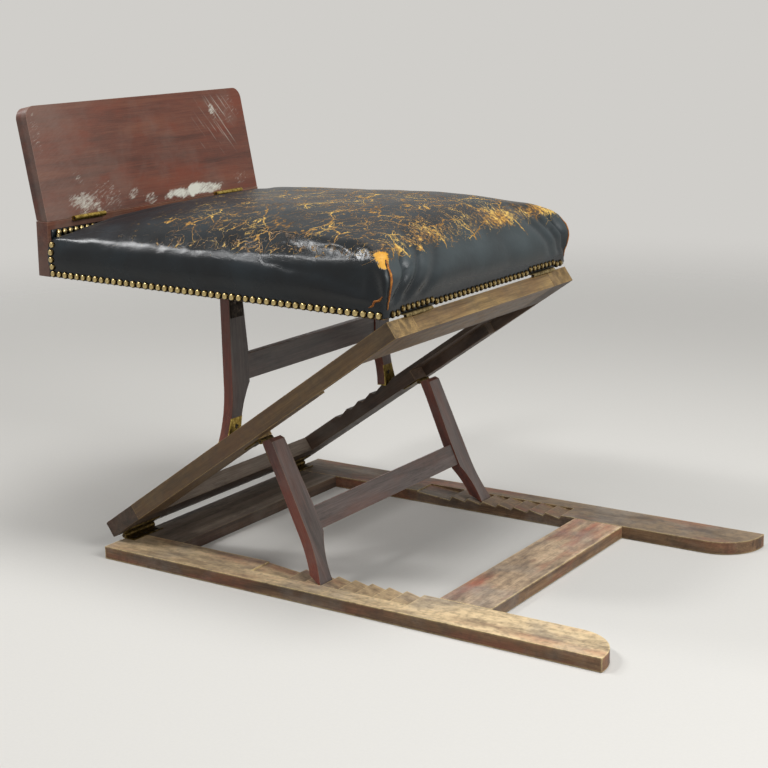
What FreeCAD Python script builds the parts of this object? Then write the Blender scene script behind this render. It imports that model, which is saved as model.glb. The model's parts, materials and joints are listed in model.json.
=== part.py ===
import FreeCAD, Part
import math
import operator
import os
from types import SimpleNamespace

import Sketcher

# Adjustable leg rest on a two-stage folding frame, in millimetres and degrees.
# +X runs forward from the rear hinges to the runner tips, +Y is the left side and +Z is up.

doc = FreeCAD.newDocument("folding_leg_rest")
sheet = doc.addObject("Spreadsheet::Sheet", "dims")

driving = {
    # flat base that stands on the floor
    "base_length": 635.0,
    "base_width": 420.0,
    "base_thick": 14.5,
    "runner_width": 56.0,
    "runner_tip_radius": 50.0,
    "base_rear_depth": 70.0,
    "cross_rail_rear": 420.0,
    "cross_rail_depth": 62.5,
    "tenon_length": 24.0,
    "tenon_thick": 6.0,
    "tenon_shoulder": 8.0,
    "tenon_clear": 0.1,
    # ratchet notches shared by the base runners and the frame rails
    "notch_pitch": 22.0,
    "notch_depth": 4.0,
    "notch_wall": 2.9,
    "notch_crest": 0.8,
    "notch_width": 33.0,
    "lead_length": 48.0,
    "lead_step": 1.4,
    "lead_depth": 5.4,
    # sloping middle frame
    "frame_tilt_angle": 34.6,
    "frame_length": 486.0,
    "frame_side_in": 19.0,
    "frame_thick": 19.0,
    "frame_rear_over": 2.0,
    "frame_rear_depth": 50.0,
    "frame_side_width": 45.0,
    "frame_front_depth": 55.0,
    "rack_width": 26.0,
    "hollow_clear": 0.6,
    # props
    "prop_thick": 12.7,
    "prop_top_gap": 1.0,
    "prop_chamfer": 4.0,
    "stretcher_thick": 9.5,
    "stretcher_tenon": 10.0,
    "stretcher_shoulder": 3.0,
    "foot_clear": 0.3,
    "lower_axis_reach": 247.5,
    "lower_lean_angle": 24.5,
    "lower_top_width": 22.2,
    "lower_waist_width": 27.0,
    "lower_foot_width": 23.5,
    "lower_foot_flare": 12.5,
    "lower_flare_length": 58.0,
    "lower_stretcher_drop": 87.0,
    "lower_stretcher_depth": 26.0,
    "foot_bevel": 15.0,
    "upper_axis_reach": 227.3,
    "upper_foot_in": 1.0,
    "upper_top_width": 24.0,
    "upper_waist_width": 31.0,
    "upper_foot_width": 25.5,
    "upper_foot_flare": 14.0,
    "upper_flare_length": 60.0,
    "upper_stretcher_drop": 71.0,
    "upper_stretcher_depth": 29.0,
    "shoe_height": 27.0,
    "shoe_thick": 1.2,
    # padded seat
    "seat_tilt_angle": 1.1,
    "seat_length": 460.0,
    "seat_side_out": 3.0,
    "seat_rail_height": 38.0,
    "seat_rail_thick": 18.0,
    "seat_end_rail_thick": 24.0,
    "cross_bar_depth": 30.0,
    "cross_bar_thick": 17.6,
    "end_board_thick": 17.6,
    "end_board_height": 63.0,
    "cover_thick": 2.2,
    "cover_clear": 0.3,
    "cover_bottom": 1.8,
    "band_height": 12.0,
    "side_bulge": 6.0,
    "fold_height": 57.0,
    "fold_rise": 9.5,
    "crown_height": 30.0,
    "crown_top_width": 68.0,
    "pad_corner_radius": 17.0,
    "rear_corner_share": 0.35,
    "rear_draw": 10.0,
    "back_band_top": 54.5,
    "back_band_height": 12.5,
    "back_band_side_in": 4.0,
    "strap_width": 50.0,
    "strap_thick": 1.2,
    "strap_pitch": 72.0,
    "hessian_thick": 0.8,
    "nail_radius": 4.2,
    "nail_rise": 3.0,
    "nail_shank_radius": 0.8,
    "nail_shank_length": 6.2,
    "nail_pitch": 9.3,
    "nail_column_pitch": 8.3,
    "nail_height": 4.4,
    "nail_hinge_lift": 3.0,
    # end flap
    "flap_height": 132.5,
    "flap_thick": 16.6,
    "flap_lean_angle": 10.75,
    "flap_side_in": 1.0,
    "flap_corner_radius": 14.0,
    "flap_face_in": 0.4,
    # butt hinges and their screws
    "knuckle_radius": 3.0,
    "knuckle_offset": 3.3,
    "knuckle_gap": 0.25,
    "front_barrel_radius": 2.1,
    "barrel_out": 0.35,
    "joint_gap": 0.4,
    "leaf_clear": 0.1,
    "recess_clear": 0.05,
    "leaf_thick": 1.6,
    "leaf_depth": 16.0,
    "pin_radius": 1.4,
    "running_clear": 0.05,
    "hinge_length": 50.8,
    "prop_hinge_length": 20.0,
    "prop_leaf_depth": 26.0,
    "rear_hinge_side_in": 58.5,
    "front_hinge_side_in": 57.0,
    "flap_hinge_side_in": 65.5,
    "screw_head_radius": 2.7,
    "screw_head_depth": 1.4,
    "screw_radius": 1.2,
    "screw_length": 11.0,
    "screw_clear": 0.05,
}

marks = {"+": operator.add, "-": operator.sub, "*": operator.mul, "/": operator.truediv}


class Size:
    # A length or an angle that carries its number and the sheet expression behind it.
    def __init__(self, value, text):
        self.value = value
        self.text = text

    def __add__(self, other):
        return joined(self, "+", other)

    def __radd__(self, other):
        return joined(other, "+", self)

    def __sub__(self, other):
        return joined(self, "-", other)

    def __rsub__(self, other):
        return joined(other, "-", self)

    def __mul__(self, other):
        return joined(self, "*", other)

    def __rmul__(self, other):
        return joined(other, "*", self)

    def __truediv__(self, other):
        return joined(self, "/", other)

    def __neg__(self):
        return joined(-1.0, "*", self)


def size(given):
    if isinstance(given, Size):
        return given
    return Size(float(given), "(%.6f)" % given if given < 0 else "%.6f" % given)


def joined(first, mark, second):
    first = size(first)
    second = size(second)
    return Size(marks[mark](first.value, second.value), "(%s %s %s)" % (first.text, mark, second.text))


def cosine(angle):
    return Size(math.cos(math.radians(angle.value)), "cos(%s * 1 deg)" % angle.text)


def sine(angle):
    return Size(math.sin(math.radians(angle.value)), "sin(%s * 1 deg)" % angle.text)


def number(length):
    return size(length).value


d = SimpleNamespace()
rows = []


def sheet_row(alias, content, value):
    rows.append(alias)
    row = len(rows)
    sheet.set("A%d" % row, alias)
    sheet.set("B%d" % row, content)
    sheet.setAlias("B%d" % row, alias)
    setattr(d, alias, Size(value, "dims." + alias))


def derived(alias, length):
    sheet_row(alias, "=" + length.text.replace("dims.", ""), length.value)


for alias, value in driving.items():
    sheet_row(alias, str(value), value)

# hinge axes and prop lengths that follow from the driving sizes
tilt_cos = cosine(d.frame_tilt_angle)
tilt_sin = sine(d.frame_tilt_angle)
lean_cos = cosine(d.lower_lean_angle)
lean_sin = sine(d.lower_lean_angle)
seat_cos = cosine(d.seat_tilt_angle)
seat_sin = sine(d.seat_tilt_angle)
flap_swing = d.flap_lean_angle + d.seat_tilt_angle
derived("frame_width", d.base_width - 2 * d.frame_side_in)
derived("seat_width", d.frame_width + 2 * d.seat_side_out)
derived("rear_hinge_spread", d.base_width / 2 - d.rear_hinge_side_in)
derived("front_hinge_spread", d.frame_width / 2 - d.front_hinge_side_in)
derived("flap_hinge_spread", d.seat_width / 2 - d.flap_hinge_side_in)
derived("crown_inset", (d.seat_width - d.crown_top_width) / 2)
derived("rear_axis_z", d.base_thick + d.knuckle_offset)
derived("frame_top", d.knuckle_offset + d.frame_thick)
derived("frame_front", d.frame_length - d.frame_rear_over)
derived("joint_half", d.joint_gap / 2)
derived("leaf_sink", d.leaf_clear + d.leaf_thick - d.joint_half + d.recess_clear)
derived("front_axis_out", d.front_barrel_radius + d.barrel_out)
derived("front_axis_along", d.frame_front + d.front_axis_out)
derived("front_axis_above", d.frame_top + d.joint_half)
derived("front_axis_x", d.front_axis_along * tilt_cos - d.front_axis_above * tilt_sin)
derived("front_axis_z", d.rear_axis_z + d.front_axis_along * tilt_sin + d.front_axis_above * tilt_cos)
derived("board_face", d.front_axis_out + d.seat_length)
derived("flap_axis_out", d.knuckle_radius + d.barrel_out)
derived("flap_axis_back", d.board_face - d.flap_axis_out)
derived("flap_axis_rise", d.joint_gap + d.end_board_height)
derived("flap_axis_x", d.front_axis_x - d.flap_axis_back * seat_cos + d.flap_axis_rise * seat_sin)
derived("flap_axis_z", d.front_axis_z + d.flap_axis_back * seat_sin + d.flap_axis_rise * seat_cos)
derived("flap_face", d.flap_axis_out * cosine(flap_swing) + d.flap_face_in)
derived("flap_back", d.flap_face + d.flap_thick)
derived("rear_reach", d.flap_back * cosine(d.flap_lean_angle) + d.flap_height * sine(d.flap_lean_angle) - d.flap_axis_x)
derived("rear_edge_x", (d.rear_reach - d.base_length) / 2)
derived("lower_axis_x", d.lower_axis_reach * tilt_cos)
derived("lower_axis_z", d.rear_axis_z + d.lower_axis_reach * tilt_sin)
derived("prop_far_face", d.knuckle_offset + d.prop_thick)
derived("lower_tip_z", d.base_thick - d.notch_depth + d.foot_clear)
derived("lower_length", (d.lower_axis_z + d.prop_far_face * lean_sin - d.lower_tip_z) / lean_cos)
derived("lower_tip_x", d.lower_axis_x + d.prop_far_face * lean_cos + d.lower_length * lean_sin)
derived("base_valley_x", d.lower_tip_x + d.foot_clear)
derived("upper_axis_drop", d.knuckle_offset - d.joint_half)
derived("upper_axis_x", d.front_axis_x - d.upper_axis_reach * seat_cos - d.upper_axis_drop * seat_sin)
derived("upper_axis_z", d.front_axis_z + d.upper_axis_reach * seat_sin - d.upper_axis_drop * seat_cos)
derived("upper_foot_x", d.upper_axis_x - d.knuckle_offset)
derived("rack_valley", d.frame_top - d.notch_depth)
derived("upper_foot_z", d.rear_axis_z + (d.rack_valley + d.foot_clear + d.upper_foot_x * tilt_sin) / tilt_cos)
derived("upper_length", d.upper_axis_z - d.upper_foot_z)
derived("rack_valley_along", d.upper_foot_x * tilt_cos + (d.upper_foot_z - d.rear_axis_z) * tilt_sin)
derived("rack_wall", d.notch_depth * tilt_cos / tilt_sin)
derived("runner_inner", d.base_width / 2 - d.runner_width)
derived("frame_inner", d.frame_width / 2 - d.frame_side_width)
derived("rack_outer", d.frame_inner + d.rack_width)
derived("lower_outer_side", d.rack_outer - d.hollow_clear)
derived("upper_outer_side", d.rack_outer - d.upper_foot_in - d.upper_foot_flare)
derived("seat_frame_side", d.seat_width / 2 - d.cover_thick - d.cover_clear)
derived("seat_frame_front", d.front_axis_out + d.cover_thick + d.cover_clear)
derived("long_strap_z", d.joint_half + d.seat_rail_height)
derived("cross_strap_z", d.long_strap_z + d.strap_thick)
derived("hessian_z", d.cross_strap_z + d.strap_thick)
derived("stuffing_z", d.hessian_z + d.hessian_thick + d.cover_clear)

doc.recompute()
for alias in rows:
    stored = float(getattr(sheet, alias))
    if abs(stored - getattr(d, alias).value) > 1e-4:
        raise ValueError("the sheet disagrees on " + alias)

sideways = FreeCAD.Vector(0, 1, 0)
tilt_axis = FreeCAD.Vector(0, -1, 0)
upright_sketch = FreeCAD.Rotation(FreeCAD.Vector(1, 0, 0), 90)
along_y = FreeCAD.Rotation(FreeCAD.Vector(1, 0, 0), -90)
nodes = []


def bind(item, path, length):
    item.setExpression(path, size(length).text)


def place(item, x, y, z, turn=None, axis=tilt_axis):
    rotation = item.Placement.Rotation if turn is None else FreeCAD.Rotation(axis, number(turn))
    item.Placement = FreeCAD.Placement(FreeCAD.Vector(number(x), number(y), number(z)), rotation)
    for letter, length in zip("xyz", (x, y, z)):
        if isinstance(length, Size):
            bind(item, "Placement.Base." + letter, length)
    if turn is not None:
        bind(item, "Placement.Rotation.Angle", turn)


def on_base(item):
    place(item, d.rear_edge_x, 0, 0)
    return item


def on_frame(item):
    place(item, d.rear_edge_x, 0, d.rear_axis_z, d.frame_tilt_angle)
    return item


def on_lower_prop(item):
    place(item, d.rear_edge_x + d.lower_axis_x, 0, d.lower_axis_z, d.lower_lean_angle)
    return item


def on_seat(item):
    place(item, d.rear_edge_x + d.front_axis_x, 0, d.front_axis_z, d.seat_tilt_angle, sideways)
    return item


def on_upper_prop(item):
    place(item, d.rear_edge_x + d.upper_axis_x, 0, d.upper_axis_z)
    return item


def on_flap(item):
    place(item, d.rear_edge_x + d.flap_axis_x, 0, d.flap_axis_z, d.flap_lean_angle)
    return item


def on_flap_edge(item):
    place(item, d.rear_edge_x + d.flap_axis_x, 0, d.flap_axis_z, d.seat_tilt_angle, sideways)
    return item


def node(item, label):
    item.Label = label
    nodes.append(item)
    return item


def box(name, near, far):
    item = doc.addObject("Part::Box", name)
    for path, low, high in zip(("Length", "Width", "Height"), near, far):
        bind(item, path, size(high) - low)
    place(item, *near)
    return item


def rod(name, radius, start, end, x, z):
    item = doc.addObject("Part::Cylinder", name)
    bind(item, "Radius", radius)
    bind(item, "Height", size(end) - start)
    item.Placement = FreeCAD.Placement(FreeCAD.Vector(0, 0, 0), along_y)
    place(item, x, start, z)
    return item


def fuse(name, items):
    item = doc.addObject("Part::MultiFuse", name)
    item.Shapes = items
    return item


def cut(name, base, tools):
    item = doc.addObject("Part::Cut", name)
    item.Base = base
    item.Tool = tools[0] if len(tools) == 1 else fuse(name + "_tools", tools)
    return item


def common(name, base, tool):
    item = doc.addObject("Part::Common", name)
    item.Base = base
    item.Tool = tool
    return item


def mirrored(name, source):
    item = doc.addObject("Part::Mirroring", name)
    item.Source = source
    item.Normal = sideways
    item.Base = FreeCAD.Vector(0, 0, 0)
    return item


def group(name, items):
    item = doc.addObject("Part::Compound", name)
    item.Links = items
    return item


def solids(name, shapes):
    item = doc.addObject("Part::Feature", name)
    item.Shape = Part.makeCompound(shapes)
    return item


def draw_outline(sketch, corners):
    # Each corner is (across, up) or (across, up, radius, turn) for an arc to the next corner.
    # The turn is 1 where the centre lies left of the way round and -1 where it lies right.
    ends = []
    for index, corner in enumerate(corners):
        following = corners[(index + 1) % len(corners)]
        start = FreeCAD.Vector(number(corner[0]), number(corner[1]), 0)
        finish = FreeCAD.Vector(number(following[0]), number(following[1]), 0)
        if len(corner) == 2:
            edge = sketch.addGeometry(Part.LineSegment(start, finish))
            ends.append((edge, 1, 2))
            continue
        radius = number(corner[2])
        chord = finish - start
        sag = radius - math.sqrt(radius * radius - chord.Length * chord.Length / 4)
        left = FreeCAD.Vector(-chord.y, chord.x, 0).normalize()
        middle = (start + finish) * 0.5 - left * (sag * corner[3])
        edge = sketch.addGeometry(Part.Arc(start, middle, finish))
        forward = sketch.getPoint(edge, 1).distanceToPoint(start) < 1e-6
        ends.append((edge, 1, 2) if forward else (edge, 2, 1))
    for index, corner in enumerate(corners):
        edge, first, last = ends[index]
        next_edge, next_first, next_last = ends[(index + 1) % len(corners)]
        sketch.addConstraint(Sketcher.Constraint("Coincident", edge, last, next_edge, next_first))
        for kind, length in (("DistanceX", corner[0]), ("DistanceY", corner[1])):
            rule = Sketcher.Constraint(kind, -1, 1, edge, first, number(length))
            bind(sketch, "Constraints[%d]" % sketch.addConstraint(rule), length)
        if len(corner) > 2:
            rule = Sketcher.Constraint("Radius", edge, number(corner[2]))
            bind(sketch, "Constraints[%d]" % sketch.addConstraint(rule), corner[2])


def padded_body(name, plane, corners, length, offset=0):
    body = doc.addObject("PartDesign::Body", name)
    sketch = body.newObject("Sketcher::SketchObject", name + "_outline")
    support = [feature for feature in body.Origin.OriginFeatures if feature.Role == plane][0]
    sketch.AttachmentSupport = [(support, "")]
    sketch.MapMode = "FlatFace"
    draw_outline(sketch, corners)
    bind(sketch, "AttachmentOffset.Base.z", offset)
    pad = body.newObject("PartDesign::Pad", name + "_pad")
    pad.Profile = sketch
    bind(pad, "Length", length)
    return body


def side_prism(name, corners, start, end):
    # A closed side-view outline carried across the object from start to end along Y.
    sketch = doc.addObject("Sketcher::SketchObject", name + "_outline")
    sketch.Placement = FreeCAD.Placement(FreeCAD.Vector(0, 0, 0), upright_sketch)
    draw_outline(sketch, corners)
    place(sketch, 0, start, 0)
    item = doc.addObject("Part::Extrusion", name)
    item.Base = sketch
    item.DirMode = "Custom"
    item.Dir = sideways
    item.Solid = True
    bind(item, "LengthFwd", size(end) - start)
    return item


def screw_shape(point, direction, grow=0.0):
    origin = FreeCAD.Vector(*[number(length) for length in point])
    way = FreeCAD.Vector(*direction)
    wide = d.screw_head_radius.value + grow
    narrow = d.screw_radius.value + grow
    head = Part.makeCone(wide, narrow, d.screw_head_depth.value, origin, way)
    shank = Part.makeCylinder(narrow, d.screw_length.value, origin, way)
    return head.fuse(shank).removeSplitter().Solids[0]


def both_sides(points):
    return [(x, sign * y, z) for sign in (1, -1) for x, y, z in points]


def knuckle_spans(middle, length, count, first):
    spans = []
    for index in range(first, count, 2):
        start = middle - length / 2 + index * length / count
        spans.append((start, start + length / count))
    return spans


def hinge_leaf(name, middle, length, count, first, axis, near, far, screw_points, screw_way, barrel):
    # A leaf plate with every second knuckle, room for the opposite knuckles, a bore and screw holes.
    x, z = axis
    half = length / 2
    plate = box(name + "_plate", (near[0], middle - half, near[1]), (far[0], middle + half, far[1]))
    pieces = [plate]
    for index, (start, end) in enumerate(knuckle_spans(middle, length, count, first)):
        pieces.append(rod("%s_knuckle_%d" % (name, index), barrel, start, end, x, z))
    tools = []
    for index, (start, end) in enumerate(knuckle_spans(middle, length, count, 1 - first)):
        room = barrel + d.knuckle_gap
        tools.append(rod("%s_room_%d" % (name, index), room, start - d.knuckle_gap, end + d.knuckle_gap, x, z))
    bore = d.pin_radius + d.running_clear
    tools.append(rod(name + "_bore", bore, middle - half - 1, middle + half + 1, x, z))
    holes = [screw_shape(point, screw_way, d.screw_clear.value) for point in screw_points]
    tools.append(solids(name + "_holes", holes))
    return cut(name + "_one", fuse(name + "_solid", pieces), tools)


def leaf_pair(name, *settings, barrel=d.knuckle_radius):
    one = hinge_leaf(name, *settings, barrel)
    return group(name, [one, mirrored(name + "_other", one)])


def pin_pair(name, middle, length, axis):
    one = rod(name + "_one", d.pin_radius, middle - length / 2, middle + length / 2, *axis)
    return group(name, [one, mirrored(name + "_other", one)])


def recess_pair(name, middle, near, far):
    # Shallow cuts on both sides that take let-in hinge leaves.
    half = d.hinge_length / 2 + d.recess_clear
    one = box(name + "_recess", (near[0], middle - half, near[1]), (far[0], middle + half, far[1]))
    return [one, mirrored(name + "_other_recess", one)]


def long_hinge_screws(middle, across, height):
    step = d.hinge_length * 0.34
    return [(across, middle + index * step, height) for index in (-1, 0, 1)]


# base: two notched runners joined by two cross members
half_base = d.base_width / 2
tip = d.runner_tip_radius
runner_corners = [
    (0, d.runner_inner),
    (d.base_length - tip, d.runner_inner, tip, 1),
    (d.base_length, d.runner_inner + tip),
    (d.base_length, half_base),
    (0, half_base),
]
runner = padded_body("runner_blank", "XY_Plane", runner_corners, d.base_thick)
runner_cuts = []
base_rails = {}
base_rail_spans = {
    "base_rear_rail": (0, d.base_rear_depth),
    "base_cross_rail": (d.cross_rail_rear, d.cross_rail_rear + d.cross_rail_depth),
}
tenon_low = (d.base_thick - d.tenon_thick) / 2
for name, (rear, front) in base_rail_spans.items():
    reach = d.runner_inner + d.tenon_length
    bar = box(name + "_bar", (rear, -d.runner_inner, 0), (front, d.runner_inner, d.base_thick))
    tenon_near = (rear + d.tenon_shoulder, -reach, tenon_low)
    tenon_far = (front - d.tenon_shoulder, reach, tenon_low + d.tenon_thick)
    base_rails[name] = fuse(name, [bar, box(name + "_tenons", tenon_near, tenon_far)])
    slack = d.tenon_clear
    slot_near = (tenon_near[0] - slack, d.runner_inner - 1, tenon_near[2] - slack)
    slot_far = (tenon_far[0] + slack, reach + slack, tenon_far[2] + slack)
    runner_cuts.append(box(name + "_mortise", slot_near, slot_far))

top = d.base_thick
first_valley = d.base_valley_x - 2 * d.notch_pitch
base_teeth = [
    (first_valley - d.lead_length, top + 1),
    (first_valley - d.lead_length, top - d.lead_step),
    (first_valley, top - d.lead_depth),
    (first_valley + d.notch_wall, top),
]
for step in range(-1, 6):
    valley = d.base_valley_x + step * d.notch_pitch
    base_teeth.append((valley - d.notch_pitch + d.notch_wall + d.notch_crest, top))
    base_teeth.append((valley, top - d.notch_depth))
    base_teeth.append((valley + d.notch_wall, top))
base_teeth.append((d.base_valley_x + 5 * d.notch_pitch + d.notch_wall, top + 1))
runner_cuts.append(side_prism("base_ratchet", base_teeth, d.runner_inner - 1, d.runner_inner + d.notch_width))
left_runner = node(on_base(cut("left_runner", runner, runner_cuts)), "left_runner")
node(mirrored("right_runner", left_runner), "right_runner")
for name, item in base_rails.items():
    node(on_base(item), name)

# rear hinges between the base and the middle frame
screw_out = d.leaf_depth * 0.64
base_leaf_top = d.base_thick + d.leaf_thick
base_screw_points = long_hinge_screws(d.rear_hinge_spread, screw_out, base_leaf_top)
base_leaves = leaf_pair(
    "rear_hinge_base_leaves", d.rear_hinge_spread, d.hinge_length, 5, 0, (0, d.rear_axis_z),
    (0, d.base_thick), (d.leaf_depth, base_leaf_top), base_screw_points, (0, 0, -1))
node(on_base(base_leaves), "rear_hinge_base_leaves")
rear_pins = pin_pair("rear_hinge_pins", d.rear_hinge_spread, d.hinge_length, (0, d.rear_axis_z))
node(on_base(rear_pins), "rear_hinge_pins")
base_screws = [screw_shape(point, (0, 0, -1)) for point in both_sides(base_screw_points)]
node(on_base(solids("base_screws", base_screws)), "base_screws")

# middle frame, drawn flat along its own slope from the rear hinge axis
low = d.knuckle_offset
high = d.frame_top
half_frame = d.frame_width / 2
side_start = d.frame_rear_depth - d.frame_rear_over
front_start = d.frame_front - d.frame_front_depth
leaf_face = d.knuckle_offset - d.leaf_thick
rail_screw_points = long_hinge_screws(d.rear_hinge_spread, screw_out, leaf_face)
front_leaf_top = d.front_axis_above - d.leaf_clear
front_screw_points = long_hinge_screws(d.front_hinge_spread, d.front_axis_along - screw_out, front_leaf_top)
lower_middle = d.lower_outer_side - d.lower_top_width / 2
prop_screw_steps = [(0.35, 0.25), (0.75, -0.25)]
lower_rail_points = []
for out, shift in prop_screw_steps:
    along = d.lower_axis_reach - d.prop_leaf_depth * out
    lower_rail_points.append((along, lower_middle + d.prop_hinge_length * shift, leaf_face))

tenon_mid = (low + high) / 2
side_bar = box("side_bar", (side_start, d.frame_inner, low), (d.frame_front, half_frame, high))
side_tenon_near = (side_start - d.tenon_length, d.frame_inner + d.tenon_shoulder, tenon_mid - d.tenon_thick / 2)
side_tenon_far = (side_start + 1, half_frame - d.tenon_shoulder, tenon_mid + d.tenon_thick / 2)
side_tenon = box("side_tenon", side_tenon_near, side_tenon_far)
front_tenon_reach = d.frame_inner + d.tenon_length
front_tenon_near = (front_start + d.tenon_shoulder, -front_tenon_reach, tenon_mid - d.tenon_thick / 2)
front_tenon_far = (d.frame_front - d.tenon_shoulder, front_tenon_reach, tenon_mid + d.tenon_thick / 2)
slack = d.tenon_clear
front_slot = box(
    "front_mortise",
    (front_tenon_near[0] - slack, d.frame_inner - 1, front_tenon_near[2] - slack),
    (front_tenon_far[0] + slack, front_tenon_reach + slack, front_tenon_far[2] + slack))

rack = [(d.rack_valley_along - d.rack_wall - 4 * d.notch_pitch, high + 1)]
for step in range(-4, 1):
    valley = d.rack_valley_along + step * d.notch_pitch
    rack.append((valley - d.rack_wall, high))
    rack.append((valley, d.rack_valley))
    rack.append((valley + d.notch_pitch - d.rack_wall - d.notch_crest, high))
rack.append((d.rack_valley_along + d.notch_pitch - d.rack_wall - d.notch_crest, high + 1))
rack_cut = side_prism("frame_ratchet", rack, d.frame_inner - 1, d.rack_outer)

hollow_top = d.prop_far_face + d.hollow_clear
hollow = box(
    "prop_hollow", (d.lower_axis_reach - d.hollow_clear, d.frame_inner - 1, low - 1),
    (front_start, d.rack_outer, hollow_top))
foot_out = d.lower_outer_side + d.lower_foot_flare + 2 * d.hollow_clear
foot_hollow = box(
    "foot_hollow", (d.lower_axis_reach + d.lower_length - d.lower_flare_length, d.frame_inner - 1, low - 1),
    (front_start, foot_out, hollow_top))
recess_rear = d.leaf_depth + d.recess_clear
front_recesses = recess_pair(
    "front_hinge", d.front_hinge_spread, (d.front_axis_along - recess_rear, high - d.leaf_sink),
    (d.frame_front + 1, high + 1))
left_side = cut(
    "frame_left_rail", fuse("side_rail_blank", [side_bar, side_tenon]),
    [front_slot, rack_cut, hollow, foot_hollow, front_recesses[0]])
node(on_frame(left_side), "frame_left_rail")
node(mirrored("frame_right_rail", left_side), "frame_right_rail")

rear_bar = box("frame_rear_bar", (-d.frame_rear_over, -half_frame, low), (side_start, half_frame, high))
side_slots = []
for name, sign in (("left", 1), ("right", -1)):
    edges = (sign * (side_tenon_near[1] - slack), sign * (side_tenon_far[1] + slack))
    inner, outer = edges if sign > 0 else (edges[1], edges[0])
    side_slots.append(box(
        name + "_side_mortise", (side_tenon_near[0] - slack, inner, side_tenon_near[2] - slack),
        (side_start + 1, outer, side_tenon_far[2] + slack)))
node(on_frame(cut("frame_rear_rail", rear_bar, side_slots)), "frame_rear_rail")
front_bar = box("frame_front_bar", (front_start, -d.frame_inner, low), (d.frame_front, d.frame_inner, high))
front_tenon = box("frame_front_tenons", front_tenon_near, front_tenon_far)
front_blank = fuse("frame_front_blank", [front_bar, front_tenon])
node(on_frame(cut("frame_front_rail", front_blank, front_recesses)), "frame_front_rail")

frame_rear_leaves = leaf_pair(
    "rear_hinge_frame_leaves", d.rear_hinge_spread, d.hinge_length, 5, 1, (0, 0),
    (0, leaf_face), (d.leaf_depth, low), rail_screw_points, (0, 0, 1))
node(on_frame(frame_rear_leaves), "rear_hinge_frame_leaves")
front_axis = (d.front_axis_along, d.front_axis_above)
frame_front_leaves = leaf_pair(
    "front_hinge_frame_leaves", d.front_hinge_spread, d.hinge_length, 5, 0, front_axis,
    (d.front_axis_along - d.leaf_depth, front_leaf_top - d.leaf_thick), (d.front_axis_along, front_leaf_top),
    front_screw_points, (0, 0, -1), barrel=d.front_barrel_radius)
node(on_frame(frame_front_leaves), "front_hinge_frame_leaves")
front_pins = pin_pair("front_hinge_pins", d.front_hinge_spread, d.hinge_length, front_axis)
node(on_frame(front_pins), "front_hinge_pins")
lower_axis = (d.lower_axis_reach, 0)
lower_rail_leaves = leaf_pair(
    "lower_prop_rail_leaves", lower_middle, d.prop_hinge_length, 3, 0, lower_axis,
    (d.lower_axis_reach - d.prop_leaf_depth, leaf_face), (d.lower_axis_reach, low),
    lower_rail_points, (0, 0, 1))
node(on_frame(lower_rail_leaves), "lower_prop_rail_leaves")
lower_pins = pin_pair("lower_prop_pins", lower_middle, d.prop_hinge_length, lower_axis)
node(on_frame(lower_pins), "lower_prop_pins")
frame_screws = [screw_shape(point, (0, 0, 1)) for point in both_sides(rail_screw_points + lower_rail_points)]
frame_screws += [screw_shape(point, (0, 0, -1)) for point in both_sides(front_screw_points)]
node(on_frame(solids("frame_screws", frame_screws)), "frame_screws")


def leg_corners(outer, top_width, waist_width, foot_width, flare, flare_length, drop, depth, length):
    # Front view of a left leg: straight outside, waist at the stretcher, foot swept outward.
    waist = outer - waist_width
    waist_low = -(drop + depth + d.stretcher_shoulder)
    foot_inner = outer + flare - foot_width
    flare_radius = (flare * flare + flare_length * flare_length) / (2 * flare)
    cove_rise = length + waist_low
    cove_in = foot_inner - waist
    cove_radius = (cove_in * cove_in + cove_rise * cove_rise) / (2 * cove_in)
    return [
        (outer - top_width, -d.prop_top_gap),
        (outer, -d.prop_top_gap),
        (outer, flare_length - length, flare_radius, 1),
        (outer + flare, -length),
        (foot_inner, -length, cove_radius, 1),
        (waist, waist_low),
        (waist, -(drop - d.stretcher_shoulder)),
    ]


def stretcher(name, rear, inner, drop, depth):
    front = rear + d.stretcher_thick
    bar = box(name + "_bar", (rear, -inner, -(drop + depth)), (front, inner, -drop))
    reach = inner + d.stretcher_tenon
    shoulder = d.stretcher_shoulder
    tenon_near = (rear + shoulder, -reach, shoulder - (drop + depth))
    tenon_far = (front - shoulder, reach, -drop - shoulder)
    tenon = box(name + "_tenons", tenon_near, tenon_far)
    slack = d.tenon_clear
    slot = box(
        name + "_mortise", (tenon_near[0] - slack, inner - 1, tenon_near[2] - slack),
        (tenon_far[0] + slack, reach + slack, tenon_far[2] + slack))
    return fuse(name, [bar, tenon]), slot


# lower prop: pointed feet that lock in the base notches
lower_inner = d.lower_outer_side - d.lower_waist_width
lower_rear = d.knuckle_offset + (d.prop_thick - d.stretcher_thick) / 2
lower_bar, lower_slot = stretcher(
    "lower_stretcher", lower_rear, lower_inner, d.lower_stretcher_drop, d.lower_stretcher_depth)
lower_corners = leg_corners(
    d.lower_outer_side, d.lower_top_width, d.lower_waist_width, d.lower_foot_width, d.lower_foot_flare,
    d.lower_flare_length, d.lower_stretcher_drop, d.lower_stretcher_depth, d.lower_length)
lower_blank = padded_body("lower_leg_blank", "YZ_Plane", lower_corners, d.prop_thick, d.knuckle_offset)
sole = [
    (d.knuckle_offset - 1, -d.lower_length - 1),
    (d.prop_far_face, -d.lower_length - 1),
    (d.prop_far_face, -d.lower_length),
    (d.knuckle_offset, d.foot_bevel - d.lower_length),
    (d.knuckle_offset - 1, d.foot_bevel - d.lower_length),
]
sole_cut = side_prism("lower_sole", sole, 0, d.base_width)
ease = [
    (d.prop_far_face - d.prop_chamfer, 1),
    (d.prop_far_face - d.prop_chamfer, -d.prop_top_gap),
    (d.prop_far_face, -d.prop_top_gap - d.prop_chamfer),
    (d.prop_far_face + 1, -d.prop_top_gap - d.prop_chamfer),
    (d.prop_far_face + 1, 1),
]
ease_cut = side_prism("lower_ease", ease, 0, d.base_width)
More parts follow.
